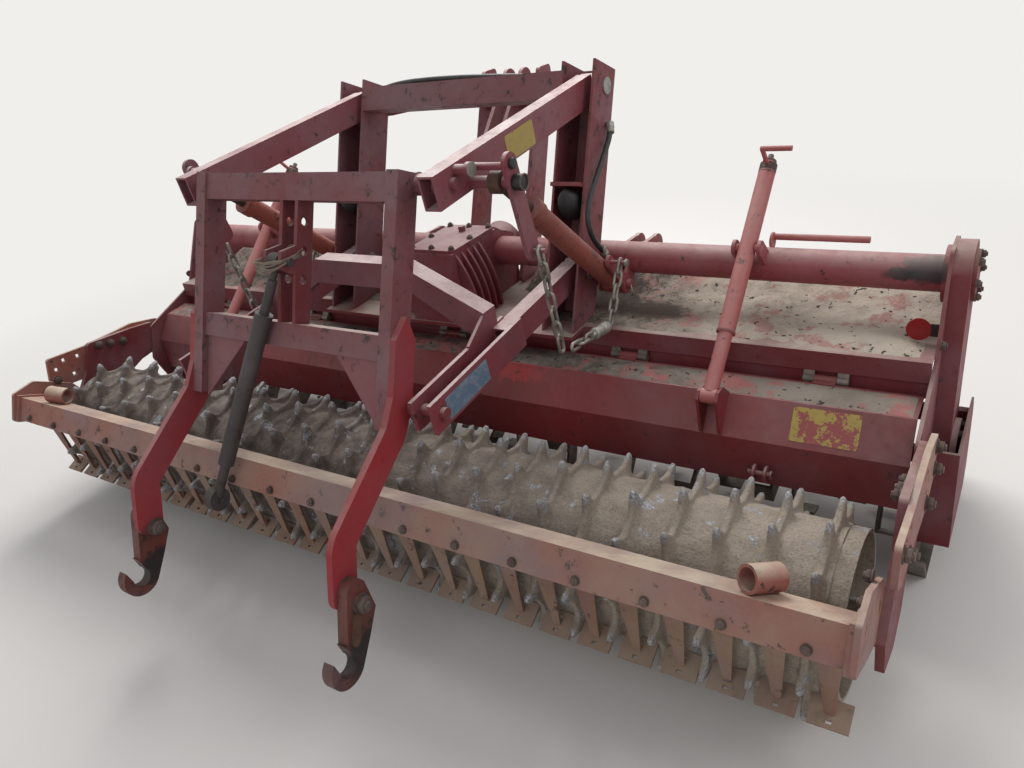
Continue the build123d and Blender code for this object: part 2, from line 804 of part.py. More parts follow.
def ring_outline():
    """The closed saw-tooth outline of one ring: a steep face, a blunt tip and a hollow back."""
    points = []
    for i in range(teeth):
        polar = (
            (root_radius, -1.0),
            (tip_radius - 4.0, 2.0),
            (tip_radius, 4.5),
            (tip_radius - 14.0, 9.0),
            (root_radius + 8.0, 17.0),
        )
        points += [along((0, 0), i * step + turn, reach) for reach, turn in polar]
    return points


ring_planes = []
for i in range(ring_count):
    turn = radians(90.0 + ring_stagger * i)
    x = ring_half - i * ring_pitch - ring_thickness / 2
    reach = (0, cos(turn), sin(turn))
    ring_planes.append(Plane(origin=(x, roller_y, roller_z), x_dir=reach, z_dir=(1, 0, 0)))

with BuildPart() as roller:
    with BuildSketch(*ring_planes) as rings:
        with BuildLine():
            Polyline(*ring_outline(), close=True)
        make_face()
        Circle(drum_radius - 2.0, mode=Mode.SUBTRACT)
    extrude(rings.sketch, amount=ring_thickness)
    with BuildSketch(Plane.YZ.offset(-drum_half)) as drum:
        with Locations((roller_y, roller_z)):
            Circle(drum_radius)
            Circle(drum_radius - drum_wall, mode=Mode.SUBTRACT)
    extrude(drum.sketch, amount=2 * drum_half)
    for side in SIDES:
        far = drum_half - drum_end_inset
        disc((roller_y, roller_z), drum_radius - 1.0, span(side, far - drum_end_plate, far), drum_end_plate)
        disc((roller_y, roller_z), stub_radius, span(side, far - 1.0, outer_x - 4.0), outer_x - 3.0 - far)
write(roller.part, "packer_roller")

# Rotor: the tube with its stub shafts, the flanges, and L-shaped tines that point left and right in turn
rotor_centre = (rotor_y, rotor_z)
tine_stem = rotor_radius - tine_thickness
flange_half = (rotor_flange_count - 1) * rotor_flange_pitch / 2
rotor_end = outer_x + 24.0
with BuildPart() as rotor:
    disc(rotor_centre, rotor_tube_radius, -rotor_half, 2 * rotor_half)
    disc(rotor_centre, rotor_stub_radius, -rotor_end, 2 * rotor_end)
    flange_planes = []
    stem_planes = []
    foot_planes = []
    for i in range(rotor_flange_count):
        x = flange_half - i * rotor_flange_pitch
        flange_planes.append(Plane.YZ.offset(x))
        for j in range(2 * tines_per_flange):
            turn = radians(j * 180.0 / tines_per_flange + 17.0 * i)
            reach = (0, cos(turn), sin(turn))
            hand = 1 if j % 2 == 0 else -1
            near = x + rotor_flange if hand > 0 else x - tine_thickness
            stem_planes.append(Plane(origin=(near, *rotor_centre), x_dir=reach, z_dir=(1, 0, 0)))
            near = x + rotor_flange if hand > 0 else x - tine_foot
            foot_planes.append(Plane(origin=(near, *rotor_centre), x_dir=reach, z_dir=(1, 0, 0)))
    with BuildSketch(*flange_planes) as flanges:
        with Locations(rotor_centre):
            Circle(rotor_flange_radius)
    extrude(flanges.sketch, amount=rotor_flange)
    with BuildSketch(*stem_planes) as stems:
        with Locations(((rotor_flange_radius + tine_stem) / 2 - 20.0, 0)):
            Rectangle(tine_stem - rotor_flange_radius + 40.0, tine_width)
    extrude(stems.sketch, amount=tine_thickness)
    with BuildSketch(*foot_planes) as feet:
        with Locations((tine_stem - tine_thickness / 2 - 1.0, 0)):
            Rectangle(tine_thickness, tine_width)
    extrude(feet.sketch, amount=tine_foot)
write(rotor.part, "rotor")

# Case with the side drive from the main tube down to the rotor, and the housing of its other bearing
case_width = 46.0
case_half_width = 95.0
with BuildPart() as drive_case:
    strip([(tube_y, tube_z), (rotor_y, rotor_z)], 2 * case_half_width, outer_x, case_width)
    disc(rotor_centre, 120.0, outer_x + case_width, 16.0)
    disc((tube_y, tube_z), 70.0, outer_x + case_width, 10.0)
    bore(rotor_centre, rotor_stub_radius + running_gap, outer_x, rotor_end - outer_x + 1.0)
write(drive_case.part, "drive_case")

with BuildPart() as bearing_caps:
    disc(rotor_centre, 86.0, -outer_x - case_width, case_width)
    bore(rotor_centre, rotor_stub_radius + running_gap, -rotor_end - 1.0, rotor_end - outer_x + 1.0)
    disc((tube_y, tube_z), 74.0, -outer_x - 16.0, 16.0)
write(bearing_caps.part, "bearing_caps")

# Bent guards low on the outside of the side plates
guard_sheet = 6.0
with BuildPart() as side_guards:
    for side in SIDES:
        foot_of_guard = [(236.0, 110.0), (246.0, 110.0), (246.0, 420.0), (236.0, 420.0)]
        plate(foot_of_guard, span(side, outer_x, guard_half), guard_half - outer_x)
        shell = [(240.0, 110.0), (560.0, 110.0), (600.0, 160.0)]
        shell += [(600.0, 360.0), (560.0, 420.0), (240.0, 420.0)]
        plate(shell, span(side, guard_half - guard_sheet, guard_half), guard_sheet)
        front_of_guard = [(590.0, 170.0), (600.0, 160.0), (600.0, 360.0), (590.0, 350.0)]
        plate(front_of_guard, span(side, outer_x, guard_half), guard_half - outer_x)
write(side_guards.part, "side_guards")

# Round reflectors on small brackets inside the side plates
reflector_at = (388.0, 705.0)
reflector_x = 1508.0
reflector_radius = 31.0
with BuildPart() as reflectors:
    for side in SIDES:
        with BuildSketch(Plane.XZ.offset(-reflector_at[0])) as lens:
            with Locations((side * reflector_x, reflector_at[1])):
                Circle(reflector_radius)
            with Locations((side * (reflector_x + body_half) / 2, reflector_at[1])):
                Rectangle(body_half - reflector_x, 34.0)
        extrude(lens.sketch, amount=7.0)
write(reflectors.part, "reflectors")

# Tailboard: a sheet with two folds, its hinge knuckles, and the lugs that its struts are pinned to
hinge_at = (hinge_y, hinge_z)
hinge_xs = (-1300.0, -700.0, 0.0, 700.0, 1300.0)
board_outer = [board_hang, board_fold_1, board_fold_2, board_edge]
board_lug = [
    (150.0, 568.0),
    (98.0, 612.0),
    (58.0, 614.0),
    (42.0, 594.0),
    (56.0, 484.0),
    (68.0, 473.0),
    (141.0, 566.0),
]
board_lug_plate = 8.0
board_lug_gap = strut_eye + 1.0
with BuildPart() as tailboard:
    inner = [(y + board_sheet, z - board_sheet * 0.7) for y, z in board_outer[:-1]]
    inner += [(board_edge[0] + board_sheet, board_edge[1])]
    plate(board_outer + inner[::-1], -board_half, 2 * board_half)
    edge_y, edge_z = board_edge
    lip = [board_edge, (edge_y + 34.0, edge_z - 16.0), (edge_y + 34.0, edge_z - 10.0)]
    plate(lip + [(edge_y + board_sheet, edge_z + 4.0)], -board_half, 2 * board_half)
    for x in hinge_xs:
        near = x - hinge_knuckle / 2
        disc(hinge_at, hinge_barrel, near, hinge_knuckle)
        web = [(board_hang[0] - 6.0, hinge_z - 5.0), (hinge_y, hinge_z - 5.0), (hinge_y, hinge_z + 6.0)]
        plate(web + [(board_hang[0] - 6.0, hinge_z + 1.0)], near, hinge_knuckle)
        bore(hinge_at, hinge_pin_radius + running_gap, near, hinge_knuckle)
    for side in SIDES:
        for x in (strut_x - board_lug_gap - board_lug_plate, strut_x + board_lug_gap):
            plate(board_lug, span(side, x, x + board_lug_plate), board_lug_plate)
write(tailboard.part, "tailboard")

# Hinges: in each, two knuckles under the ridge bar with the pin between them
with BuildPart() as tailboard_hinges:
    for x in hinge_xs:
        reach = hinge_knuckle / 2 + 1.0
        for near in (x - reach - hinge_knuckle / 2, x + reach):
            disc(hinge_at, hinge_barrel, near, hinge_knuckle / 2)
            web = [(hinge_y - 4.0, hinge_z + 4.0), (ridge_rear_y + 1.0, ridge_low_z)]
            web += [(deck_rear_y, ridge_low_z), (hinge_y + 11.0, hinge_z)]
            plate(web, near, hinge_knuckle / 2)
        disc(hinge_at, hinge_pin_radius, x - reach - 1.0, 2 * reach + 2.0)
write(tailboard_hinges.part, "tailboard_hinges")

# Struts of the tailboard: the tube that tips on its trunnions, with a crank, and the rod in it
strut_way = heading(strut_low, strut_high)
gland = 26.0
with BuildPart() as strut_tubes:
    for side in SIDES:
        low = along(strut_low, strut_way, strut_start)
        high = along(strut_low, strut_way, strut_end)
        cap = along(strut_low, strut_way, strut_end + strut_head)
        rod(low, high, side * strut_x, strut_radius, strut_bore)
        rod(low, along(low, strut_way, gland), side * strut_x, strut_radius, strut_rod_radius + running_gap)
        rod(low, along(low, strut_way, strut_ring), side * strut_x, strut_radius + 2.0, strut_radius - 1.0)
        rod(high, along(high, strut_way, strut_ring), side * strut_x, strut_radius)
        rod(high, cap, side * strut_x, strut_cap_radius)
        reach = strut_lug_gap / 2 + lug
        trunnion = reach - strut_bore - 1.0
        for x in (strut_x - reach, strut_x + reach - trunnion):
            disc(strut_high, trunnion_radius, span(side, x, x + trunnion), trunnion)
        crank = [along(cap, strut_way, -14.0), along(cap, strut_way, -14.0, 92.0)]
        rod(crank[0], crank[1], side * strut_x, 7.0)
        disc(crank[1], 8.0, span(side, strut_x - 4.0, strut_x + 86.0), 90.0)
write(strut_tubes.part, "strut_tubes")

with BuildPart() as strut_rods:
    for side in SIDES:
        start = along(strut_low, strut_way, 10.0)
        end = along(strut_low, strut_way, strut_rod_end)
        rod(start, end, side * strut_x, strut_rod_radius)
        disc(strut_low, strut_rod_radius, span(side, strut_x - strut_eye, strut_x + strut_eye), 2 * strut_eye)
write(strut_rods.part, "strut_rods")

# Lower arms: a tube with a boss in front and fork plates behind, and the crossbeam that ties both sides
beam_rear_y = -125.0
beam_front_y = -65.0
with BuildPart() as lower_arms:
    for side in SIDES:
        start = along(lift_low, arm_way, 26.0)
        end = along(lift_low, arm_way, tube_end)
        box_tube(start, end, side * arm_x, arm_width, lower_arm_height, arm_wall)
        disc(lift_low, arm_boss, span(side, arm_inner_x, arm_outer_x), arm_width)
        for x in (arm_inner_x - fork_plate, arm_outer_x):
            half = fork_height / 2
            corners = [(fork_start, half), (arm_length + fork_tail, half), (arm_length + fork_tail, -half)]
            corners += [(fork_start, -half)]
            plate([along(lift_low, arm_way, *c) for c in corners], span(side, x, x + fork_plate), fork_plate)
        gusset = [(-125.0, 870.0), (-215.0, 815.0), (-215.0, 790.0), (-65.0, 790.0), (-65.0, 870.0)]
        plate(gusset, span(side, arm_inner_x - 10.0, arm_inner_x), 10.0)
    with BuildSketch(Plane.XZ.offset(-beam_front_y)) as portal:
        with BuildLine():
            Polyline(
                (-arm_inner_x, 770.0),
                (-arm_inner_x, 877.0),
                (-175.0, 1007.0),
                (175.0, 1007.0),
                (arm_inner_x, 877.0),
                (arm_inner_x, 770.0),
                (190.0, 927.0),
                (-190.0, 927.0),
                close=True,
            )
        make_face()
    extrude(portal.sketch, amount=beam_front_y - beam_rear_y)
    for side in SIDES:
        bore(lift_low, pin_hole, span(side, arm_inner_x, arm_outer_x), arm_width)
        fork_out = arm_outer_x + fork_plate
        bore(hitch_low, pin_hole, span(side, arm_inner_x - fork_plate, fork_out), arm_width + 2 * fork_plate)
write(lower_arms.part, "lower_arms")

# Upper arms: a tube with bosses, the lever plate for the check chain and the stubs for the cylinder's eye
bar_at = (-145.0, 1300.0)
stub_at = (-192.0, 1305.0)
with BuildPart() as upper_arms:
    for side in SIDES:
        start = along(lift_top, arm_way, 26.0)
        end = along(lift_top, arm_way, arm_length + arm_tail)
        box_tube(start, end, side * arm_x, arm_width, arm_height, arm_wall)
        disc(lift_top, arm_boss, span(side, arm_inner_x, arm_outer_x), arm_width)
        disc(hitch_top, 34.0, span(side, arm_inner_x, arm_outer_x), arm_width)
        bore(lift_top, pin_hole, span(side, arm_inner_x, arm_outer_x), arm_width)
        bore(hitch_top, pin_hole, span(side, arm_inner_x, arm_outer_x), arm_width)
        inner_stub = cylinder_x - eye_half - 1.0
        near = arm_outer_x - 3.0
        disc(cylinder_high, pin_radius, span(side, near, inner_stub), inner_stub - near)
        outer_stub = cylinder_x + eye_half + 1.0
        disc(cylinder_high, pin_radius, span(side, outer_stub, clevis_x + 2.0), clevis_x + 2.0 - outer_stub)
        strip([lever_top, lever_low], lever_width, span(side, clevis_x, clevis_x + lever_plate), lever_plate)
        disc(bar_at, 10.0, span(side, arm_outer_x - 3.0, clevis_x + 2.0), clevis_x + 5.0 - arm_outer_x)
        lever_out = clevis_x + lever_plate - 1.0
        disc(lever_low, chain_pin_radius, span(side, lever_out, chain_x + 18.0), chain_x + 18.0 - lever_out)
        disc(stub_at, 14.0, span(side, arm_outer_x - 3.0, arm_outer_x + 40.0), 43.0)
        disc(stub_at, 19.0, span(side, arm_outer_x + 36.0, arm_outer_x + 47.0), 11.0)
write(upper_arms.part, "upper_arms")

# Lift cylinders: the barrels on the tube's clevises, and the rods with their eyes
cylinder_way = heading(cylinder_low, cylinder_high)
barrel_start = 30.0
with BuildPart() as lift_barrels:
    for side in SIDES:
        start = along(cylinder_low, cylinder_way, barrel_start)
        end = along(cylinder_low, cylinder_way, barrel_length)
        rod(start, end, side * cylinder_x, barrel_radius, barrel_bore)
        rod(start, along(start, cylinder_way, 14.0), side * cylinder_x, barrel_radius)
        low_gland = along(end, cylinder_way, -gland)
        mouth = along(end, cylinder_way, 12.0)
        rod(low_gland, mouth, side * cylinder_x, barrel_radius + 4.0, rod_radius + running_gap)
        near = span(side, cylinder_x - barrel_radius, cylinder_x + barrel_radius)
        disc(cylinder_low, barrel_radius, near, 2 * barrel_radius)
        bore(cylinder_low, pin_hole, near, 2 * barrel_radius)
write(lift_barrels.part, "lift_barrels")

with BuildPart() as lift_rods:
    for side in SIDES:
        start = along(cylinder_high, cylinder_way, -20.0)
        end = along(cylinder_high, cylinder_way, -rod_length)
        rod(start, end, side * cylinder_x, rod_radius)
        near = span(side, cylinder_x - eye_half, cylinder_x + eye_half)
        disc(cylinder_high, rod_eye_radius, near, rod_eye_width)
write(lift_rods.part, "lift_rods")

# Check chains: the strand that hangs from the lever, and the lower one with its turnbuckle
chain_slack = 7.0
with BuildPart() as check_chains:
    for side in SIDES:
        way = heading(lever_low, chain_end)
        chain_run(along(lever_low, way, -chain_slack), chain_end, side * chain_x, 7)
write(check_chains.part, "check_chains")

with BuildPart() as turnbuckles:
    for side in SIDES:
        way = heading(turnbuckle_end, chain_end)
        strand_end = along(turnbuckle_end, way, gap(turnbuckle_end, chain_end) - 34.0)
        x = side * turnbuckle_x
        chain_run(along(turnbuckle_end, way, 118.0), strand_end, x, 3)
        rod(along(turnbuckle_end, way, 8.0), along(turnbuckle_end, way, 122.0), x, 13.0)
        rod(along(turnbuckle_end, way, 30.0), along(turnbuckle_end, way, 62.0), x, 19.0)
        way = heading(turnbuckle_end, chain_anchor)
        chain_run(turnbuckle_end, along(chain_anchor, way, chain_slack), x, 5)
write(turnbuckles.part, "turnbuckles")

# Hitch frame for the seed drill: posts with their pins, crossbars, gussets and the centre plates
hitch_bar_low = 394.0
hitch_bar_height = 68.0
post_low = 640.0
with BuildPart() as hitch_posts:
    for side in SIDES:
        foot = on_post(hitch_top, post_low, -46.0)
        head = on_post(hitch_top, -25.0, -46.0)
        with BuildSketch(across(foot, head, side * hitch_post_x)) as section:
            Rectangle(hitch_post_width, hitch_post_depth)
        extrude(section.sketch, amount=gap(foot, head))
        for centre, far, collar in ((hitch_top, 517.0, 448.0), (hitch_low, 529.0, 436.0)):
            disc(centre, 30.0, span(side, post_inner_x, post_outer_x), hitch_post_width)
            disc(centre, 26.0, span(side, post_outer_x - 2.0, collar), collar - post_outer_x + 2.0)
            disc(centre, pin_radius, span(side, post_outer_x - 2.0, far), far - post_outer_x + 2.0)
write(hitch_posts.part, "hitch_posts")

with BuildPart() as hitch_crossbars:
    cross_tube(on_post(hitch_top, 16.5, -48.0), forward, hitch_bar_depth, 75.0, hitch_wall, post_inner_x)
    low_bar = on_post(hitch_top, hitch_bar_low + hitch_bar_height / 2, -44.0)
    cross_tube(low_bar, forward, hitch_bar_depth, hitch_bar_height, hitch_wall, post_inner_x)
write(hitch_crossbars.part, "hitch_crossbars")

gusset_wide = 170.0
gusset_down = 190.0
with BuildPart() as hitch_gussets:
    origin = on_post(hitch_top, hitch_bar_low + hitch_bar_height, -54.0)
    back = Plane(origin=(0, *origin), x_dir=(1, 0, 0), z_dir=(0, *along((0, 0), forward, -1.0)))
    with BuildSketch(back) as corners:
        for side in SIDES:
            with BuildLine():
                Polyline(
                    (side * post_inner_x, 0),
                    (side * (post_inner_x - gusset_wide), 0),
                    (side * post_inner_x, -gusset_down),
                    close=True,
                )
            make_face()
    extrude(corners.sketch, amount=8.0)
write(hitch_gussets.part, "hitch_gussets")

centre_plate = 12.0
centre_plate_x = 24.0
link_hole = 13.0
link_pin = 11.0
with BuildPart() as hitch_centre_plates:
    for side in SIDES:
        corners = [(54.0, -78.0), (54.0, -20.0), (hitch_bar_low, -20.0), (hitch_bar_low, -74.0)]
        corners += [(258.0, -78.0), (243.0, -132.0), (196.0, -132.0), (176.0, -78.0)]
        points = [on_post(hitch_top, down, ahead) for down, ahead in corners]
        near = span(side, centre_plate_x, centre_plate_x + centre_plate)
        plate(points, near, centre_plate)
        for down in (110.0, 190.0, 270.0):
            bore(on_post(hitch_top, down, -50.0), link_hole, near, centre_plate)
        bore(link_top[1:], link_pin + 0.3, near, centre_plate)
write(hitch_centre_plates.part, "hitch_centre_plates")

# Bent legs on the outside of the posts, with the hooks that carry the seed drill
leg_inner_x = post_outer_x
leg_outer_x = leg_inner_x + leg_plate
with BuildPart() as hitch_legs:
    for side in SIDES:
        near = span(side, leg_inner_x, leg_outer_x)
        spine = [on_post(hitch_top, 560.0, -45.0), (-532.0, 712.0), (-795.0, 545.0), (-834.0, 420.0)]
        strip(spine, leg_width, near, leg_plate, 60.0)
        spear = [(340.0, -46.0), (400.0, -85.0), (600.0, -85.0), (600.0, -7.0), (400.0, -7.0)]
        plate([on_post(hitch_top, down, ahead) for down, ahead in spear], near, leg_plate)
        bore(hitch_low, 26.5, near, leg_plate)
write(hitch_legs.part, "hitch_legs")

hook_blade = [
    (-861.0, 438.0),
    (-793.0, 432.0),
    (-782.0, 352.0),
    (-824.0, 290.0),
    (-868.0, 232.0),
    (-905.0, 305.0),
]
with BuildPart() as seeder_hooks:
    for side in SIDES:
        near = span(side, leg_outer_x, leg_outer_x + hook_thickness)
        disc(leg_bolt, 34.0, near, hook_thickness)
        plate(hook_blade, near, hook_thickness)
        disc(hook_seat, hook_radius, near, hook_thickness)
        bore(hook_seat, hook_seat_radius, near, hook_thickness)
        mouth = [(0.0, -hook_seat_radius + 3.0), (hook_radius + 20.0, -30.0), (hook_radius + 20.0, 22.0)]
        mouth += [(0.0, hook_seat_radius - 3.0)]
        plate([along(hook_seat, 107.0, *c) for c in mouth], near, hook_thickness, mode=Mode.SUBTRACT)
write(seeder_hooks.part, "seeder_hooks")

latch = 8.0
with BuildPart() as hook_latches:
    for side in SIDES:
        near = leg_outer_x + hook_thickness
        strip([(-852.0, 372.0), (-876.0, 316.0)], 28.0, span(side, near, near + latch), latch)
write(hook_latches.part, "hook_latches")

# Upper link of the seed drill, parked on the hitch frame
with BuildPart() as top_link:
    top = Vector(*link_top)
    way = (Vector(*link_low) - top).normalized()
    reach = (Vector(*link_low) - top).length
    # Each round length as where it starts and ends below the top pin, and its radius
    rounds = (
        (14.0, 60.0, 9.0),
        (56.0, 170.0, 14.0),
        (160.0, 200.0, 26.0),
        (200.0, reach - 130.0, 24.0),
        (reach - 136.0, reach, 15.0),
    )
    for start, end, radius in rounds:
        with BuildSketch(Plane(origin=top + way * start, z_dir=way)) as section:
            Circle(radius)
        extrude(section.sketch, amount=end - start)
    disc(link_top[1:], 24.0, -centre_plate_x + 4.0, 2 * centre_plate_x - 8.0)
    pin_half = centre_plate_x + centre_plate + 20.0
    disc(link_top[1:], link_pin, -pin_half, 2 * pin_half)
    disc(link_low[1:], 36.0, link_low[0] - 17.0, 34.0)
    bore(link_low[1:], 13.0, link_low[0] - 17.0, 34.0)
write(top_link.part, "top_link")
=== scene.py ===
"""Looks for a rotary tiller with a packer roller and a lifting linkage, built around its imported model."""

import math
import random

import bpy
from mathutils import Matrix, Vector, noise as field


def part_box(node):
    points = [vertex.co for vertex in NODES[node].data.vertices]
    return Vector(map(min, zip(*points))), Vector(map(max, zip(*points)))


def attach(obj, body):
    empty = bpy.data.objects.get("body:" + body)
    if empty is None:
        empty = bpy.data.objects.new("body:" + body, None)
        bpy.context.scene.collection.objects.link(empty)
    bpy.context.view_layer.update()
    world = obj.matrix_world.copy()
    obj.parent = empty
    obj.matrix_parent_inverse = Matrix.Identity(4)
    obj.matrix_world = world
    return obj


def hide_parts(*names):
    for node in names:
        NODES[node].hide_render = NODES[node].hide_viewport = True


bl_info = {
    "name": "Rotary tiller",
    "version": (1, 0, 0),
    "blender": (4, 5, 0),
    "location": "View3D > Sidebar > Tiller",
    "description": "Adds fasteners, caked soil, hoses and worn finishes to the tiller",
    "category": "Add Mesh",
}

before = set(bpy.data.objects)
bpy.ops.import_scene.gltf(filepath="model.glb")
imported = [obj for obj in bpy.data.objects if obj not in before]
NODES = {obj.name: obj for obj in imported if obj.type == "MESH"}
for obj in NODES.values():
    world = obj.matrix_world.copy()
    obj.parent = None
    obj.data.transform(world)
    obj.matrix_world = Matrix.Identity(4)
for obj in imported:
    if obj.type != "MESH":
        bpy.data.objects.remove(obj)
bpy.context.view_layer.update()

# Places that the solids share, in metres: a pair is (y, z) in the side view
LEAN = 23.6
POST_ANGLE = 90.0 - LEAN
LIFT_TOP = (0.603, 1.350)
ARM_TILT = 5.2
ARM_OUTER_X = 0.503
FORK_OUTER_X = 0.515
ROLLER = (-0.284, 0.275)
RING_PITCH = 0.1155
RING_COUNT = 26
TEETH = 12
DRUM_R = 0.204
ROOT_R = 0.219
TIP_R = 0.275
CRUST_MOST = 0.0042
CRUST_HALF = 1.47
LUMPS_R = 0.21
BEAM_REAR_TOP = (-0.579, 0.527)
BEAM_ANGLE = -25.7
FOOT_ANGLE = 204.7
TUBE = (0.510, 0.818)
ROTOR = (0.415, 0.290)
DECK_Z = 0.665
STRUT_X = 1.035
STRUT_LOW, STRUT_HIGH = (0.070, 0.594), (0.425, 0.899)
CYLINDER_X = 0.583
CYLINDER_LOW, CYLINDER_HIGH = (0.441, 0.752), (-0.130, 1.256)
LEVER_OUTER_X = 0.633
LEVER_STUB, LEVER_TOP = (-0.192, 1.305), (-0.137, 1.305)
BOARD_FOLD, BOARD_EDGE = (0.140, 0.570), (0.065, 0.473)
SIDES = (-1, 1)


def along(p, angle, run, rise=0.0):
    """The (y, z) point run along a direction at angle degrees above +Y, and rise square to it."""
    a = math.radians(angle)
    return (p[0] + run * math.cos(a) - rise * math.sin(a), p[1] + run * math.sin(a) + rise * math.cos(a))


# Finishes


def linear(code):
    """A linear colour from an sRGB hex value."""
    parts = [int(code[i:i + 2], 16) / 255 for i in (1, 3, 5)]
    return tuple(c / 12.92 if c <= 0.04045 else ((c + 0.055) / 1.055) ** 2.4 for c in parts) + (1.0,)


def wire(tree, node, sockets):
    """Sets or links the sockets of a node; a text is an sRGB hex colour."""
    for key, value in sockets.items():
        if isinstance(value, bpy.types.NodeSocket):
            tree.links.new(value, node.inputs[key])
        else:
            node.inputs[key].default_value = linear(value) if isinstance(value, str) else value


def add(tree, kind, sockets, out=0, **settings):
    """One node of a material with its settings and links; it gives the output named or numbered out."""
    node = tree.nodes.new("ShaderNode" + kind)
    for key, value in settings.items():
        setattr(node, key, value)
    wire(tree, node, sockets)
    return node.outputs[out] if node.outputs else None


# A noise node's Scale is MM over the size of its blotches in millimetres
MM = 1000.0
# The colour sockets of a Mix node, in and out
FROM, TO, MIXED = 6, 7, 2


def start(name, grains=()):
    """An empty material with Object coordinates and noises, each of (blotch in mm, detail, roughness)."""
    made = bpy.data.materials.new(name)
    made.use_nodes = True
    tree = made.node_tree
    tree.nodes.clear()
    surface = add(tree, "BsdfPrincipled", {})
    add(tree, "OutputMaterial", {"Surface": surface})
    place = add(tree, "TexCoord", {}, "Object")
    patterns = []
    for blotch, detail, rough in grains:
        patterns.append(add(tree, "TexNoise", {
            "Vector": place, "Scale": MM / blotch, "Detail": detail, "Roughness": rough}))
    return made, tree, surface.node, place, patterns


def lay(tree, colour, over, pattern, low=0.0, high=1.0, share=1.0):
    """A colour with another over it, none where pattern is low and up to share where it is high."""
    amount = add(tree, "MapRange", {"Value": pattern, "From Min": low, "From Max": high, "To Max": share})
    return add(tree, "Mix", {"Factor": amount, FROM: colour, TO: over}, MIXED, data_type="RGBA")


def stain(tree, place, colour, centre, reach, over, share):
    """A colour with a stain or a bare place at centre, whose ragged edge is at reach."""
    away = add(tree, "VectorMath", {0: place, 1: centre}, operation="SUBTRACT")
    away = add(tree, "VectorMath", {0: away, 1: reach}, operation="DIVIDE")
    away = add(tree, "VectorMath", {0: away}, "Value", operation="LENGTH")
    edge = add(tree, "TexNoise", {"Vector": place, "Scale": MM / 26, "Detail": 6, "Roughness": 0.75})
    ragged = add(tree, "Math", {0: edge, 1: 1.6, 2: away}, operation="MULTIPLY_ADD")
    return lay(tree, colour, over, ragged, 1.9, 1.6, share)


def enamel(name, fresh, faded, dust="#c2b1a6", dusty=0.75, film=0.35, chips=0.62, gloss=0.5, marks=()):
    """Machine enamel, brushed on and gone chalky: blotches of fading, rust at chips, dust and its marks."""
    made, tree, shader, place, (broad, fine, tiny, rubs, drifts, runs) = start(name, (
        (420, 5, 0.55), (38, 6, 0.7), (9, 3, 0.55), (16, 5, 0.8), (150, 6, 0.65), (260, 6, 0.6)))
    colour = lay(tree, fresh, faded, broad, 0.38, 0.62)
    colour = lay(tree, colour, faded, tiny, 0.45, 0.8, 0.35)
    for mark in marks:
        colour = stain(tree, place, colour, *mark)
    colour = lay(tree, colour, "#33201c", fine, chips, chips + 0.05)
    colour = lay(tree, colour, "#8a7a74", rubs, 0.69, 0.72, 0.7)
    # dust settles in drifts on what looks up
    normal = add(tree, "NewGeometry", {}, "Normal")
    upward = add(tree, "SeparateXYZ", {"Vector": normal}, "Z")
    level = add(tree, "MapRange", {"Value": upward, "From Min": 0.35, "From Max": 0.95, "To Max": dusty})
    settles = add(tree, "MapRange", {"Value": drifts, "From Min": 0.2, "From Max": 0.6})
    lies = add(tree, "Math", {0: level, 1: settles}, operation="MULTIPLY")
    colour = lay(tree, colour, dust, lies)
    colour = lay(tree, colour, "#806f74", runs, 0.45, 0.7, film)
    rough = add(tree, "MapRange", {
        "Value": fine, "From Min": 0.3, "From Max": 0.7, "To Min": gloss, "To Max": gloss + 0.3})
    bumps = add(tree, "Bump", {"Height": fine, "Distance": 1.2 / MM, "Strength": 0.35})
    wire(tree, shader, {"Base Color": colour, "Roughness": rough, "Normal": bumps})
    return made


def caked(name, dark, pale, lumps=45.0, depth=9.0, shows=0.0, marks=()):
    """Dried soil: dark clods at the left, pale dust at the right, and the paint where it shows through."""
    made, tree, shader, place, (clods, crumbs, swept, damp, pellets) = start(name, (
        (lumps, 8, 0.7), (7, 4, 0.7), (120, 7, 0.7), (210, 8, 0.75), (24, 3, 0.6)))
    across = add(tree, "SeparateXYZ", {"Vector": place}, "X")
    dust_and_light_rightward = add(tree, "Math", {0: clods, 1: 0.9, 2: across}, operation="MULTIPLY_ADD")
    colour = lay(tree, dark, "#8f857c", clods, 0.35, 0.65)
    colour = lay(tree, colour, pale, dust_and_light_rightward, 1.0, 1.5)
    colour = lay(tree, colour, pale, crumbs, 0.5, 0.7, 0.4)
    colour = lay(tree, colour, "#a86a66", swept, 0.54, 0.6, shows)
    colour = lay(tree, colour, "#6f645a", damp, 0.5, 0.68, 0.6)
    for mark in marks:
        colour = stain(tree, place, colour, *mark)
    colour = lay(tree, colour, "#453c36", pellets, 0.63, 0.66)
    height = add(tree, "Math", {0: crumbs, 1: 0.35, 2: clods}, operation="MULTIPLY_ADD")
    bumps = add(tree, "Bump", {"Height": height, "Distance": depth / MM, "Strength": 0.7})
    wire(tree, shader, {"Base Color": colour, "Roughness": 0.95, "Specular IOR Level": 0.2, "Normal": bumps})
    return made


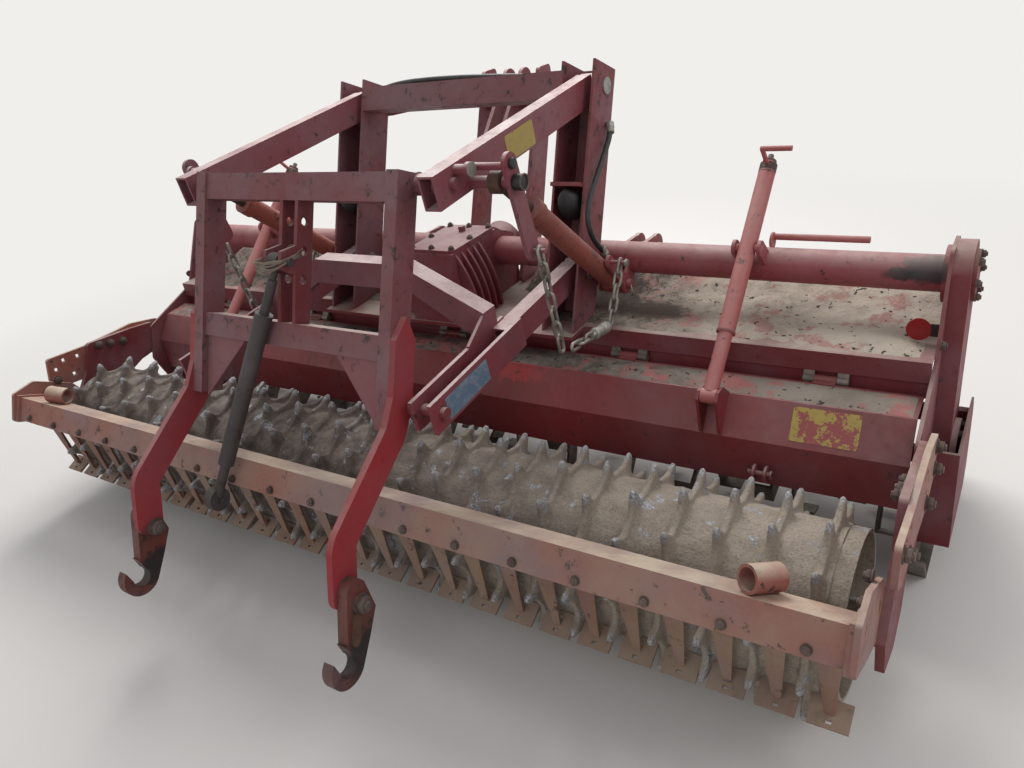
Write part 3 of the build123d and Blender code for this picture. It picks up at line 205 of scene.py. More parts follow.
def toothed_steel(name):
    """Rings caked with clay, darker on the left half as painted shade and paler towards the right, whose
    teeth and some flanks are scoured to bare steel.
    """
    made, tree, shader, place, (clods, crumbs, edge, rubs) = start(name, (
        (55, 8, 0.7), (6, 4, 0.7), (20, 5, 0.7), (75, 5, 0.6)))
    away = add(tree, "VectorMath", {0: place, 1: (0, *ROLLER)}, operation="SUBTRACT")
    away = add(tree, "VectorMath", {0: away, 1: (0, 1, 1)}, operation="MULTIPLY")
    radius = add(tree, "VectorMath", {0: away}, "Value", operation="LENGTH")
    across = add(tree, "SeparateXYZ", {"Vector": place}, "X")
    # painted shade: the clay turns paler towards +x, which leaves the left half of the roller darker as
    # though it lay in shade
    dust_and_light_rightward = add(tree, "Math", {0: clods, 1: 1.2, 2: across}, operation="MULTIPLY_ADD")
    colour = lay(tree, "#5c524e", "#85796f", clods, 0.4, 0.6)
    colour = lay(tree, colour, "#a89b8b", dust_and_light_rightward, 0.4, 1.9)
    colour = lay(tree, colour, "#70655c", crumbs, 0.45, 0.65, 0.55)
    jagged = add(tree, "Math", {0: edge, 1: 0.03, 2: radius}, operation="MULTIPLY_ADD")
    tips = add(tree, "MapRange", {"Value": jagged, "From Min": 0.262, "From Max": 0.272, "To Max": 0.85})
    scoured = add(tree, "MapRange", {"Value": rubs, "From Min": 0.59, "From Max": 0.62})
    bare = add(tree, "Math", {0: tips, 1: scoured}, operation="MAXIMUM")
    steel = lay(tree, "#77716d", "#b2b5bb", crumbs, 0.4, 0.6)
    colour = lay(tree, colour, steel, bare)
    metal = add(tree, "Math", {0: bare, 1: 0.45}, operation="MULTIPLY")
    dull = add(tree, "MapRange", {"Value": bare, "To Min": 0.95, "To Max": 0.5})
    height = add(tree, "Math", {0: crumbs, 1: 0.35, 2: clods}, operation="MULTIPLY_ADD")
    bumps = add(tree, "Bump", {"Height": height, "Distance": 14.0 / MM, "Strength": 0.8})
    wire(tree, shader, {"Base Color": colour, "Metallic": metal, "Roughness": dull, "Normal": bumps})
    return made


def bare_steel(name, dark, pale, metallic=0.7, rough=0.45, rust="#5a3a28", rusted=0.6):
    """Bare or plated steel, handled and dulled, with rust in patches."""
    made, tree, shader, _, (broad, fine, pits) = start(name, (
        (60, 6, 0.6), (8, 5, 0.7), (30, 7, 0.75)))
    colour = lay(tree, dark, pale, broad, 0.35, 0.65)
    spots = add(tree, "MapRange", {"Value": pits, "From Min": rusted, "From Max": rusted + 0.08})
    colour = lay(tree, colour, rust, spots)
    shine = add(tree, "MapRange", {"Value": spots, "To Min": metallic, "To Max": 0.1})
    dull = add(tree, "MapRange", {
        "Value": fine, "From Min": 0.3, "From Max": 0.7, "To Min": rough, "To Max": rough + 0.25})
    bumps = add(tree, "Bump", {"Height": fine, "Distance": 0.6 / MM, "Strength": 0.4})
    wire(tree, shader, {"Base Color": colour, "Metallic": shine, "Roughness": dull, "Normal": bumps})
    return made


def plain(name, colour, rough, worn="#6f675f", amount=0.25, ior=1.5, flaked=0.0, bracket_from=0.0):
    """Rubber, plastic or film with scuffs; a film may be flaked, and a lens has a black bracket beyond x."""
    # the real grain is too fine to show, so it is drawn 5 mm across
    made, tree, shader, place, (rubs, flakes, grain) = start(name, (
        (22, 6, 0.7), (45, 6, 0.75), (5, 4, 0.55)))
    shown = lay(tree, colour, worn, rubs, 0.45, 0.75, amount)
    if flaked:
        shown = lay(tree, shown, "#8a3c3c", flakes, flaked, flaked + 0.02)
    if bracket_from:
        across = add(tree, "SeparateXYZ", {"Vector": place}, "X")
        out = add(tree, "Math", {0: across}, operation="ABSOLUTE")
        shown = lay(tree, shown, "#1b1817", out, bracket_from, bracket_from + 0.001)
    bumps = add(tree, "Bump", {"Height": grain, "Distance": 0.3 / MM, "Strength": 0.3})
    wire(tree, shader, {"Base Color": shown, "Roughness": rough, "IOR": ior, "Normal": bumps})
    return made


# Stains and bare places as centre, reach, colour and share
BOARD_MARKS = (
    ((0.345, 0.150, 0.530), (0.170, 0.045, 0.045), "#a8302f", 0.85),
    ((0.571, 0.121, 0.520), (0.040, 0.012, 0.006), "#d9c0b8", 0.9),
    ((0.693, 0.122, 0.510), (0.040, 0.012, 0.005), "#d9c0b8", 0.9),
    ((-0.30, 0.150, 0.530), (0.200, 0.050, 0.050), "#a8302f", 0.5),
)
TUBE_MARKS = (
    ((1.510, 0.460, 0.845), (0.075, 0.060, 0.045), "#15110f", 0.95),
    ((1.450, 0.465, 0.830), (0.050, 0.040, 0.020), "#15110f", 0.9),
)
LEG_MARKS = (((-0.430, -0.850, 0.360), (0.060, 0.045, 0.070), "#33211a", 0.85),)
HOOK_MARKS = tuple(
    ((side * 0.437, -0.845, 0.262), (0.080, 0.100, 0.060), "#191412", 0.97) for side in SIDES[::-1])
LINK_MARKS = (((0.0, -0.660, 0.440), (0.070, 0.060, 0.060), "#8d766e", 0.8),)
CLOD_MARKS = (
    ((0.420, 0.520, 0.700), (0.260, 0.200, 0.140), "#473e38", 0.9),
    ((0.700, 0.420, 0.700), (0.140, 0.080, 0.140), "#564b43", 0.8),
)
BARREL_MARKS = (
    ((0.600, 0.280, 0.930), (0.050, 0.030, 0.030), "#4a2c24", 0.7),
    ((0.600, 0.350, 0.850), (0.050, 0.025, 0.030), "#4a2c24", 0.7),
)


def finishes():
    """Every finish by the name that the pieces use."""
    return {
        # alkyd enamel, brushed on and left outside: chalky, faded towards grey-pink, dusty on top
        "faded_red": enamel("alkyd_enamel_faded", "#7d2d31", "#7f4c50", film=0.4, chips=0.6),
        "tube_red": enamel("alkyd_enamel_tube", "#8a3237", "#94545a", dusty=0.45, film=0.2, marks=TUBE_MARKS),
        "strut_red": enamel("alkyd_enamel_strut", "#a4504e", "#a96864", dusty=0.3, film=0.15),
        "arm_red": enamel("alkyd_enamel_arm", "#7a2e35", "#7c4c52", dust="#ccb8b2", dusty=0.9),
        "frame_red": enamel("alkyd_enamel_frame", "#722a2e", "#744c50", film=0.45, chips=0.58),
        "beam_red": enamel("alkyd_enamel_beam", "#8e5044", "#937264", dust="#c4b49e", dusty=0.95, film=0.8,
                           chips=0.6),
        "scraper": enamel("alkyd_enamel_scraper", "#7c5446", "#8d7460", dust="#9c8a76", dusty=0.9, film=0.5,
                          chips=0.6),
        "hood_red": enamel("alkyd_enamel_hood", "#7a262c", "#80353a", dust="#a3968a", dusty=0.95, chips=0.66),
        "board_red": enamel("alkyd_enamel_board", "#7c2226", "#6a2a2c", dust="#94726a", dusty=0.3,
                            film=0.2, chips=0.62, gloss=0.38, marks=BOARD_MARKS),
        "dark_red": enamel("alkyd_enamel_maroon", "#6d2429", "#74373b", dust="#a8968a"),
        "bright_red": enamel("alkyd_enamel_bright", "#94232a", "#84343a", dust="#b89a92", dusty=0.5,
                             film=0.15, chips=0.66, marks=LEG_MARKS),
        "gear_red": enamel("alkyd_enamel_gearbox", "#7c2f36", "#83484c", dust="#ab918d", dusty=0.95),
        "barrel_red": enamel("alkyd_enamel_barrel", "#8e4538", "#7c4038", dusty=0.3, film=0.15,
                             chips=0.6, marks=BARREL_MARKS),
        "link_grey": enamel("enamel_dark_grey", "#2b2726", "#3f3937", dust="#5e5650", dusty=0.5, film=0.2,
                            chips=0.6, marks=LINK_MARKS),
        "hook": enamel("enamel_under_grease", "#6e2c22", "#463028", dust="#5b4a40", dusty=0.3, film=0.3,
                       chips=0.55, gloss=0.4, marks=HOOK_MARKS),
        # dried clay on rolled steel: no shine, crumbs and clods
        "deck_soil": caked("loose_earth", "#54493f", "#bcb0a0", lumps=60.0, depth=16.0, shows=0.6,
                           marks=CLOD_MARKS),
        "board_soil": caked("washed_earth", "#4d4540", "#8f857a", lumps=50.0, depth=12.0, shows=0.9),
        "roller": toothed_steel("clay_on_forged_steel"),
        # rolled, forged and plated steel: a dull sheen between patches of rust
        "worn_steel": bare_steel("rolled_steel_worn", "#5a534d", "#857c73", 0.5, 0.5),
        "rotor_steel": bare_steel("spring_steel_scoured", "#4c443d", "#7a7067", 0.6, 0.45),
        "casting": bare_steel("grey_iron_casting", "#6b655c", "#918a80", 0.1, 0.7, rusted=0.7),
        "rusty": bare_steel("forging_rusted", "#3a2c26", "#5b453a", 0.3, 0.55, rusted=0.5),
        "zinc": bare_steel("zinc_plated_steel", "#77756f", "#a8a6a0", 0.75, 0.42, rusted=0.62),
        "chain": bare_steel("zinc_plated_chain", "#68625c", "#98928a", 0.65, 0.42, rusted=0.6),
        "bolt": bare_steel("bolt_steel_dull", "#4d3e3a", "#6c5f58", 0.4, 0.5, rusted=0.55),
        # natural rubber, moulded acrylic and vinyl film: even colours, scuffed and flaked
        "rubber": plain("natural_rubber", "#131213", 0.55, worn="#4c4a4c"),
        "hose": plain("hose_cover_rubber", "#1b1a1b", 0.5, worn="#5c5a5c", amount=0.35),
        "lens": plain("acrylic_lens_red", "#8e1418", 0.2, worn="#5a2420", ior=1.49, bracket_from=1.538),
        "yellow_film": plain("vinyl_film_yellow", "#a08a3a", 0.45, worn="#8a6a4a", amount=0.6, flaked=0.62),
        "yellow_rest": plain("vinyl_film_flaked", "#a58f3e", 0.45, worn="#8a6a4a", amount=0.5, flaked=0.49),
        "blue_film": plain("vinyl_film_blue", "#5d7388", 0.5, worn="#9a9da0", amount=0.9, flaked=0.68),
        "twine": plain("sisal_twine", "#85786a", 0.95, worn="#4c443c", amount=0.6),
    }


NODE_FINISH = {
    "hood": "hood_red", "hood_ridge": "dark_red", "centre_deck": "hood_red", "side_plates": "dark_red",
    "side_skids": "worn_steel", "main_tube": "tube_red", "gearbox": "gear_red",
    "gearbox_cover": "gear_red", "input_shaft": "zinc", "lift_posts": "frame_red", "lift_pins": "zinc",
    "lift_crossbar": "frame_red", "stop_shelves": "faded_red", "rubber_stops": "rubber",
    "mast": "faded_red", "mast_braces": "faded_red", "lower_link_brackets": "faded_red",
    "lower_link_pins": "zinc", "roller_arms": "dark_red", "roller_bearings": "casting",
    "adjuster_plates": "beam_red", "scraper_beam": "beam_red", "beam_brackets": "beam_red",
    "beam_sleeves": "beam_red", "scrapers": "scraper", "packer_roller": "worn_steel",
    "rotor": "rotor_steel", "drive_case": "dark_red", "bearing_caps": "casting",
    "side_guards": "dark_red", "reflectors": "lens", "tailboard": "board_red",
    "tailboard_hinges": "worn_steel", "strut_tubes": "strut_red", "strut_rods": "strut_red",
    "lower_arms": "arm_red", "upper_arms": "arm_red", "lift_barrels": "barrel_red", "lift_rods": "rusty",
    "check_chains": "chain", "turnbuckles": "chain", "hitch_posts": "frame_red",
    "hitch_crossbars": "frame_red", "hitch_gussets": "faded_red", "hitch_centre_plates": "dark_red",
    "hitch_legs": "bright_red", "seeder_hooks": "hook", "hook_latches": "rusty", "top_link": "link_grey",
}
FINISH = {}


# Ways of making pieces


def clear():
    bpy.ops.object.select_all(action="DESELECT")


def cylinder(vertices, radius, depth, **more):
    clear()
    bpy.ops.mesh.primitive_cylinder_add(vertices=vertices, radius=radius, depth=depth, **more)
    return bpy.context.object


def torus(radius, thick, around, across):
    """A ring of radius to the middle of its round bar, whose own radius is thick."""
    clear()
    bpy.ops.mesh.primitive_torus_add(
        major_radius=radius, minor_radius=thick, major_segments=around, minor_segments=across)
    return bpy.context.object


def modify(piece, kind, **values):
    """Puts a modifier with these values on a piece and applies it."""
    bpy.context.view_layer.objects.active = piece
    step = piece.modifiers.new("step", kind)
    for key, value in values.items():
        setattr(step, key, value)
    bpy.ops.object.modifier_apply(modifier=step.name)


def settle(piece, body, finish, smooth=35.0):
    """Puts a piece's place into its mesh, gives it its finish and lets it ride on its body."""
    clear()
    piece.select_set(True)
    bpy.context.view_layer.objects.active = piece
    bpy.ops.object.transform_apply(location=True, rotation=True, scale=True)
    if smooth:
        bpy.ops.object.shade_smooth_by_angle(angle=math.radians(smooth))
    piece.data.materials.clear()
    piece.data.materials.append(FINISH[finish])
    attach(piece, body)
    return piece


def join(pieces, name):
    clear()
    for piece in pieces:
        piece.select_set(True)
    bpy.context.view_layer.objects.active = pieces[0]
    if len(pieces) > 1:
        bpy.ops.object.join()
    made = bpy.context.view_layer.objects.active
    made.name = name
    made.data.name = name
    return made


def copy_to(piece, matrix):
    """A copy with its own mesh, placed by matrix."""
    made = piece.copy()
    made.data = piece.data.copy()
    bpy.context.scene.collection.objects.link(made)
    made.matrix_world = matrix
    return made


def facing(place, way, scale=1.0):
    """A matrix that stands a piece's z along way at place."""
    turn = Vector(way).to_track_quat("Z", "Y").to_matrix().to_4x4()
    return Matrix.Translation(Vector(place)) @ turn @ Matrix.Scale(scale, 4)


def hex_bolt():
    """One bolt head on its washer, 24 mm across flats, standing on z = 0."""
    washer = cylinder(20, 0.016, 0.003, location=(0, 0, 0.0015))
    head = cylinder(6, 0.0135, 0.010, location=(0, 0, 0.008))
    modify(head, "BEVEL", width=0.0012, segments=2)
    stud = cylinder(14, 0.0075, 0.006, location=(0, 0, 0.015))
    modify(stud, "BEVEL", width=0.001)
    made = join([washer, head, stud], "bolt_pattern_piece")
    clear()
    made.select_set(True)
    bpy.ops.object.transform_apply(location=True, rotation=True, scale=True)
    return made


def bolts(name, body, finish, places):
    """A group of bolts, each given as its place, the way it points and its size."""
    one = hex_bolt()
    made = [copy_to(one, facing(place, way, size)) for place, way, size in places]
    bpy.data.objects.remove(one)
    return settle(join(made, name), body, finish)


def ring_of(centre, radius, count, x, side, size, phase):
    """Bolt places in a circle on a face that looks sideways."""
    places = []
    for i in range(count):
        y, z = along(centre, phase + 360.0 * i / count, radius)
        places.append(((x, y, z), (side, 0, 0), size))
    return places


class TillerSizes(bpy.types.PropertyGroup):
    soil_depth: bpy.props.FloatProperty(
        name="Soil depth", description="How thick the soil lies on the deck",
        default=0.012, subtype="DISTANCE")
    hose_size: bpy.props.FloatProperty(
        name="Hose diameter", description="Outside diameter of the hydraulic hoses",
        default=0.018, subtype="DISTANCE")
    wire: bpy.props.FloatProperty(
        name="Chain wire", description="Thickness of the chain links' wire",
        default=0.010, subtype="DISTANCE")
    floor_colour: bpy.props.FloatVectorProperty(
        name="Floor", description="Colour of the floor", default=(0.72, 0.69, 0.65), size=3, subtype="COLOR")


class TILLER_OT_finish(bpy.types.Operator):
    """Gives every solid of the frame its worn finish"""
    bl_idname = "tiller.finish"
    bl_label = "Finishes"

    def execute(self, context):
        FINISH.update(finishes())
        for name, finish in NODE_FINISH.items():
            mesh = NODES[name].data
            mesh.materials.clear()
            mesh.materials.append(FINISH[finish])
            for face in mesh.polygons:
                face.material_index = 0
        return {"FINISHED"}


# Bolts on the side plates: the face's x, 1 outwards or -1 inwards, the size, and the (y, z) places
SIDE_BOLTS = (
    (1.605, 1, 1.25, ((0.085, 0.470), (0.085, 0.535), (-0.045, 0.455), (-0.300, 0.500), (-0.395, 0.575))),
    (1.570, 1, 0.9, (
        (0.330, 0.690), (0.560, 0.700), (0.700, 0.560), (0.740, 0.300), (0.300, 0.130), (0.560, 0.110))),
    (1.557, -1, 1.1, ((-0.420, 0.520), (-0.475, 0.495), (-0.430, 0.440))),
    (1.570, -1, 1.2, ((-0.200, 0.575), (-0.150, 0.560), (-0.095, 0.545))),
)
# Rings of bolts round the tube's and the rotor's ends: centre, radius, count, x, side, size, phase
END_RINGS = (
    (TUBE, 0.058, 6, 1.626, 1, 0.8, 0.0),
    (TUBE, 0.060, 6, -1.586, -1, 0.8, 0.0),
    (ROTOR, 0.102, 8, 1.632, 1, 0.8, 12.0),
    (ROTOR, 0.070, 6, -1.616, -1, 0.8, 0.0),
)
BEAM_BOLTS = 18
COVER_TOP = 0.917
HOOK_BOLT = (-0.826, 0.398)


class TILLER_OT_bolts(bpy.types.Operator):
    """Adds the bolts on the scraper beam, the side plates, the gearbox cover and the hooks"""
    bl_idname = "tiller.bolts"
    bl_label = "Bolts"

    def execute(self, context):
        rear = along((0, 0), BEAM_ANGLE, -1.0)
        low = along(BEAM_REAR_TOP, BEAM_ANGLE, 0.0, -0.072)
        places = []
        for i in range(BEAM_BOLTS):
            x = (i - (BEAM_BOLTS - 1) / 2) * 1.5 * RING_PITCH
            places.append(((x, *low), (0, *rear), 0.8))
        bolts("beam_bolts", "frame", "bolt", places)
        places = []
        for ring in END_RINGS:
            places += ring_of(*ring)
        for side in SIDES:
            for x, out, size, spots in SIDE_BOLTS:
                for y, z in spots:
                    places.append(((side * x, y, z), (side * out, 0, 0), size))
        bolts("side_bolts", "frame", "bolt", places)
        places = []
        middle = 0.352
        for x in (-0.085, 0.0, 0.085):
            for y in (0.240, middle, 0.470):
                if x or y != middle:
                    places.append(((x, y, COVER_TOP), (0, 0, 1), 0.75))
        bolts("cover_bolts", "frame", "bolt", places)
        places = []
        for side in SIDES:
            places.append(((side * 0.450, *HOOK_BOLT), (side, 0, 0), 1.7))
            places.append(((side * 0.396, *HOOK_BOLT), (-side, 0, 0), 1.7))
        bolts("hook_bolts", "hitch_frame", "bolt", places)
        return {"FINISHED"}


class TILLER_OT_roller(bpy.types.Operator):
    """Builds the toothed roller: the drum with its crust of clay, and rings whose teeth are forged round"""
    bl_idname = "tiller.roller"
    bl_label = "Packer roller"

    def execute(self, context):
        # One tooth as angle in degrees and radius, from the root before its steep face
        tooth = ((-1.0, ROOT_R), (1.0, 0.243), (2.2, TIP_R - 0.005), (4.2, TIP_R), (6.4, TIP_R - 0.010),
                 (8.6, 0.243), (13.0, 0.228), (21.5, ROOT_R + 0.001))
        half = ((-0.027, 0.0), (-0.0165, 0.07), (-0.0108, 0.32), (-0.0092, 0.82), (-0.0055, 0.985))
        across = half + tuple((-x, share) for x, share in reversed(half))
        steps = TEETH * len(tooth)
        clear()
        bpy.ops.mesh.primitive_grid_add(x_subdivisions=steps, y_subdivisions=len(across) - 1, size=2.0)
        one = bpy.context.object
        for v in one.data.vertices:
            i = round((v.co.x + 1.0) / 2.0 * steps)
            j = round((v.co.y + 1.0) / 2.0 * (len(across) - 1))
            turn, reach = tooth[i % len(tooth)]
            a = math.radians(turn + 360.0 / TEETH * (i // len(tooth)))
            x, share = across[j]
            r = DRUM_R - 0.001 + (reach - DRUM_R) * share
            v.co = (x, r * math.cos(a), r * math.sin(a))
        clear()
        one.select_set(True)
        bpy.context.view_layer.objects.active = one
        bpy.ops.object.mode_set(mode="EDIT")
        bpy.ops.mesh.select_all(action="SELECT")
        bpy.ops.mesh.remove_doubles(threshold=0.0001)
        bpy.ops.mesh.normals_make_consistent(inside=False)
        bpy.ops.object.mode_set(mode="OBJECT")
        modify(one, "SUBSURF", levels=1, render_levels=1)
        rng = random.Random(7)
        rings = []
        for k in range(RING_COUNT):
            x = (RING_COUNT - 1) / 2 * RING_PITCH - k * RING_PITCH
            turn = Matrix.Rotation(math.radians(90.0 + 9.5 * k), 4, "X")
            placed = copy_to(one, Matrix.Translation((x, *ROLLER)) @ turn)
            for v in placed.data.vertices:
                v.co += Vector((rng.uniform(-1, 1), rng.uniform(-1, 1), rng.uniform(-1, 1))) * 0.0006
            rings.append(placed)
        bpy.data.objects.remove(one)
        flat = (0, math.radians(90), 0)
        drum = cylinder(
            96, DRUM_R - 0.001, 3.02, end_fill_type="NOTHING", location=(0, *ROLLER), rotation=flat)
        bpy.ops.object.transform_apply(location=False, rotation=True, scale=True)
        bpy.ops.object.mode_set(mode="EDIT")
        bpy.ops.mesh.select_all(action="SELECT")
        bpy.ops.mesh.subdivide(number_cuts=1)
        bpy.ops.object.mode_set(mode="OBJECT")
        modify(drum, "SOLIDIFY", thickness=0.010, offset=-1.0)
        # the sunken end plates with their stub shafts
        ends = [drum]
        for side in SIDES:
            ends.append(cylinder(64, DRUM_R - 0.008, 0.012, location=(side * 1.434, *ROLLER), rotation=flat))
            stub = cylinder(32, 0.030, 0.130, location=(side * 1.500, *ROLLER), rotation=flat)
            modify(stub, "BEVEL", width=0.002)
            ends.append(stub)
        roller = settle(join(rings + ends, "toothed_roller"), "packer_roller", "roller", 60.0)
        # the crust of clay between the rings, which closes on itself round the drum
        clear()
        bpy.ops.mesh.primitive_grid_add(x_subdivisions=380, y_subdivisions=112, size=2.0)
        crust = bpy.context.object
        for v in crust.data.vertices:
            x = CRUST_HALF * v.co.x
            a = math.pi * (1.0 + v.co.y)
            seat = Vector((x, math.cos(a), math.sin(a)))
            spot = Vector((x, LUMPS_R * seat.y, LUMPS_R * seat.z))
            lump = lumpy(spot, 0.07) + 0.9 * lumpy(spot + Vector((9.0, 0.0, 0.0)), 0.022)
            r = DRUM_R + min(CRUST_MOST, max(0.0, 0.0012 + 0.0032 * lump))
            v.co = (x, ROLLER[0] + r * seat.y, ROLLER[1] + r * seat.z)
        bpy.ops.object.mode_set(mode="EDIT")
        bpy.ops.mesh.select_all(action="SELECT")
        bpy.ops.mesh.remove_doubles(threshold=0.0001)
        bpy.ops.mesh.select_all(action="DESELECT")
        bpy.ops.mesh.select_non_manifold()
        bpy.ops.mesh.fill()
        bpy.ops.mesh.select_all(action="SELECT")
        bpy.ops.mesh.normals_make_consistent(inside=False)
        bpy.ops.object.mode_set(mode="OBJECT")
        crust.name = "drum_crust"
        settle(crust, "packer_roller", "roller", 60.0)
        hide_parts("packer_roller")
        return {"FINISHED"}


CHAIN_X = 0.650
TURNBUCKLE_X = 0.664
LINK_WIDTH = 0.032
LEVER_LOW = (-0.090, 1.062)
CHAIN_END = (-0.047, 0.745)
TURNBUCKLE_END = (0.229, 0.704)
CHAIN_ANCHOR = (0.335, 0.868)


def heading(p, q):
    return math.degrees(math.atan2(q[1] - p[1], q[0] - p[0]))


def gap(p, q):
    return math.hypot(q[0] - p[0], q[1] - p[1])


def link(pitch, wire):
    """One welded link with straight sides, lying in its own xy plane along x."""
    made = torus((LINK_WIDTH - wire) / 2, wire / 2, 24, 10)
    shift = (pitch + 2 * wire - 0.0022 - LINK_WIDTH) / 2
    for v in made.data.vertices:
        if abs(v.co.x) > 0.0005:
            v.co.x += math.copysign(shift, v.co.x)
    return made


def strand(p, q, x, count, wire):
    """Links from p to q, each a quarter turn on from the one before."""
    pitch = gap(p, q) / count
    one = link(pitch, wire)
    way = Vector((0, q[0] - p[0], q[1] - p[1])).normalized()
    made = []
    for i in range(count):
        centre = Vector((x, *p)) + way * (pitch * (i + 0.5))
        normal = Vector((1, 0, 0)) if i % 2 == 0 else way.cross(Vector((1, 0, 0)))
        side_way = normal.cross(way)
        turn = Matrix((way, side_way, normal)).transposed().to_4x4()
        made.append(copy_to(one, Matrix.Translation(centre) @ turn))
    bpy.data.objects.remove(one)
    return made


def bar(p, q, x, radius, edge=0.002):
    """A round bar with softened ends between two places of the side view."""
    way = Vector((0, q[0] - p[0], q[1] - p[1]))
    centre = Vector((x, (p[0] + q[0]) / 2, (p[1] + q[1]) / 2))
    made = cylinder(28, radius, way.length)
    made.matrix_world = facing(centre, way)
    modify(made, "BEVEL", width=edge, segments=2, limit_method="ANGLE")
    return made


def button(place, side, radius, thick):
    """A round head or bush that stands thick out of a face that looks sideways."""
    made = cylinder(32, radius, thick)
    modify(made, "BEVEL", width=min(0.002, thick / 3), segments=2, limit_method="ANGLE")
    made.matrix_world = facing(Vector(place) + Vector((side * thick / 2, 0, 0)), (side, 0, 0))
    return made


def rod_across(x0, x1, spot, radius):
    """A round bar along x from x0 to x1 at a (y, z) spot."""
    return button((x0, *spot), 1, radius, x1 - x0)


class TILLER_OT_chains(bpy.types.Operator):
    """Builds the check chains of round wire and the turnbuckle between them"""
    bl_idname = "tiller.chains"
    bl_label = "Check chains"

    def execute(self, context):
        wire = context.scene.tiller_sizes.wire
        made = []
        for side in SIDES:
            way = heading(LEVER_LOW, CHAIN_END)
            made += strand(along(LEVER_LOW, way, -0.007), CHAIN_END, side * CHAIN_X, 7, wire)
        upper = settle(join(made, "check_chain_links"), "check_chains", "chain", 60.0)
        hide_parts("check_chains")
        made = []
        for side in SIDES:
            x = side * TURNBUCKLE_X
            way = heading(TURNBUCKLE_END, CHAIN_END)
            run = gap(TURNBUCKLE_END, CHAIN_END)
            near, far = (along(TURNBUCKLE_END, way, at) for at in (0.118, run - 0.034))
            made += strand(near, far, x, 3, wire)
            way = heading(TURNBUCKLE_END, CHAIN_ANCHOR)
            made += strand(TURNBUCKLE_END, along(CHAIN_ANCHOR, way, 0.007), x, 5, wire)
        lower = settle(join(made, "turnbuckle_chain"), "turnbuckles", "chain", 60.0)
        made = []
        # the turnbuckle's steps from its lower end: near, far, radius
        steps = (
            (0.008, 0.122, 0.0095), (0.022, 0.108, 0.0165), (0.030, 0.062, 0.019), (0.096, 0.106, 0.0185))
        for side in SIDES:
            way = heading(TURNBUCKLE_END, CHAIN_END)
            for near, far, radius in steps:
                ends = [along(TURNBUCKLE_END, way, run) for run in (near, far)]
                made.append(bar(*ends, side * TURNBUCKLE_X, radius))
        settle(join(made, "turnbuckle_sleeve"), "turnbuckles", "zinc", 60.0)
        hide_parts("turnbuckles")
        return {"FINISHED"}


def film(name, body, finish, corners, out):
    """A blank sticker or plate: its four corners on a face, raised a little along out, with round corners."""
    clear()
    bpy.ops.mesh.primitive_plane_add(size=1.0)
    made = bpy.context.object
    for v, corner in zip(made.data.vertices, corners):
        v.co = Vector(corner) + Vector(out) * 0.0006
    bpy.ops.object.mode_set(mode="EDIT")
    bpy.ops.mesh.select_all(action="SELECT")
    bpy.ops.mesh.bevel(offset=0.006, segments=4, affect="VERTICES")
    bpy.ops.mesh.normals_make_consistent(inside=False)
    bpy.ops.object.mode_set(mode="OBJECT")
    modify(made, "SOLIDIFY", thickness=0.0008, offset=0.0)
    made.name = name
    return settle(made, body, finish, 30.0)


class TILLER_OT_films(bpy.types.Operator):
    """Adds the blank yellow stickers and the faded blue plate"""
    bl_idname = "tiller.films"
    bl_label = "Stickers"

    def execute(self, context):
        way = 180.0 + ARM_TILT
        corners = []
        for run, rise in ((0.560, 0.030), (0.410, 0.030), (0.560, -0.040), (0.410, -0.040)):
            corners.append((ARM_OUTER_X, *along(LIFT_TOP, way, run, -rise)))
        film("arm_sticker", "upper_arms", "yellow_film", corners, (1, 0, 0))
        low = along(LIFT_TOP, POST_ANGLE, -0.580)
        corners = []
        for run, rise in ((0.800, 0.030), (0.600, 0.030), (0.800, -0.036), (0.600, -0.036)):
            corners.append((FORK_OUTER_X, *along(low, way, run, -rise)))
        film("fork_plate_label", "lower_arms", "blue_film", corners, (1, 0, 0))
        slope = heading(BOARD_FOLD, BOARD_EDGE)
        corners = []
        for run, x in ((0.105, 1.250), (0.105, 1.425), (0.010, 1.250), (0.010, 1.425)):
            corners.append((x, *along(BOARD_FOLD, slope, run)))
        out = along((0, 0), slope, 0.0, -1.0)
        film("board_sticker", "tailboard", "yellow_rest", corners, (0, *out))
        return {"FINISHED"}


# Hoses as the control points of their lines: over the crossbar, and down the right post to the cylinder
HOSES = {
    "crossbar_hose": (
        (-0.395, 0.600, 1.390), (-0.340, 0.580, 1.404), (-0.230, 0.555, 1.418), (-0.100, 0.545, 1.422),
        (0.030, 0.555, 1.418), (0.130, 0.570, 1.410), (0.240, 0.595, 1.400), (0.330, 0.620, 1.382),
        (0.360, 0.640, 1.330), (0.380, 0.655, 1.270)),
    "cylinder_hose": (
        (0.548, 0.585, 1.240), (0.560, 0.560, 1.215), (0.560, 0.500, 1.160), (0.560, 0.430, 1.105),
        (0.562, 0.370, 1.060), (0.566, 0.335, 1.010), (0.570, 0.335, 0.960), (0.574, 0.365, 0.910),
        (0.580, 0.392, 0.880), (0.583, 0.402, 0.858)),
}


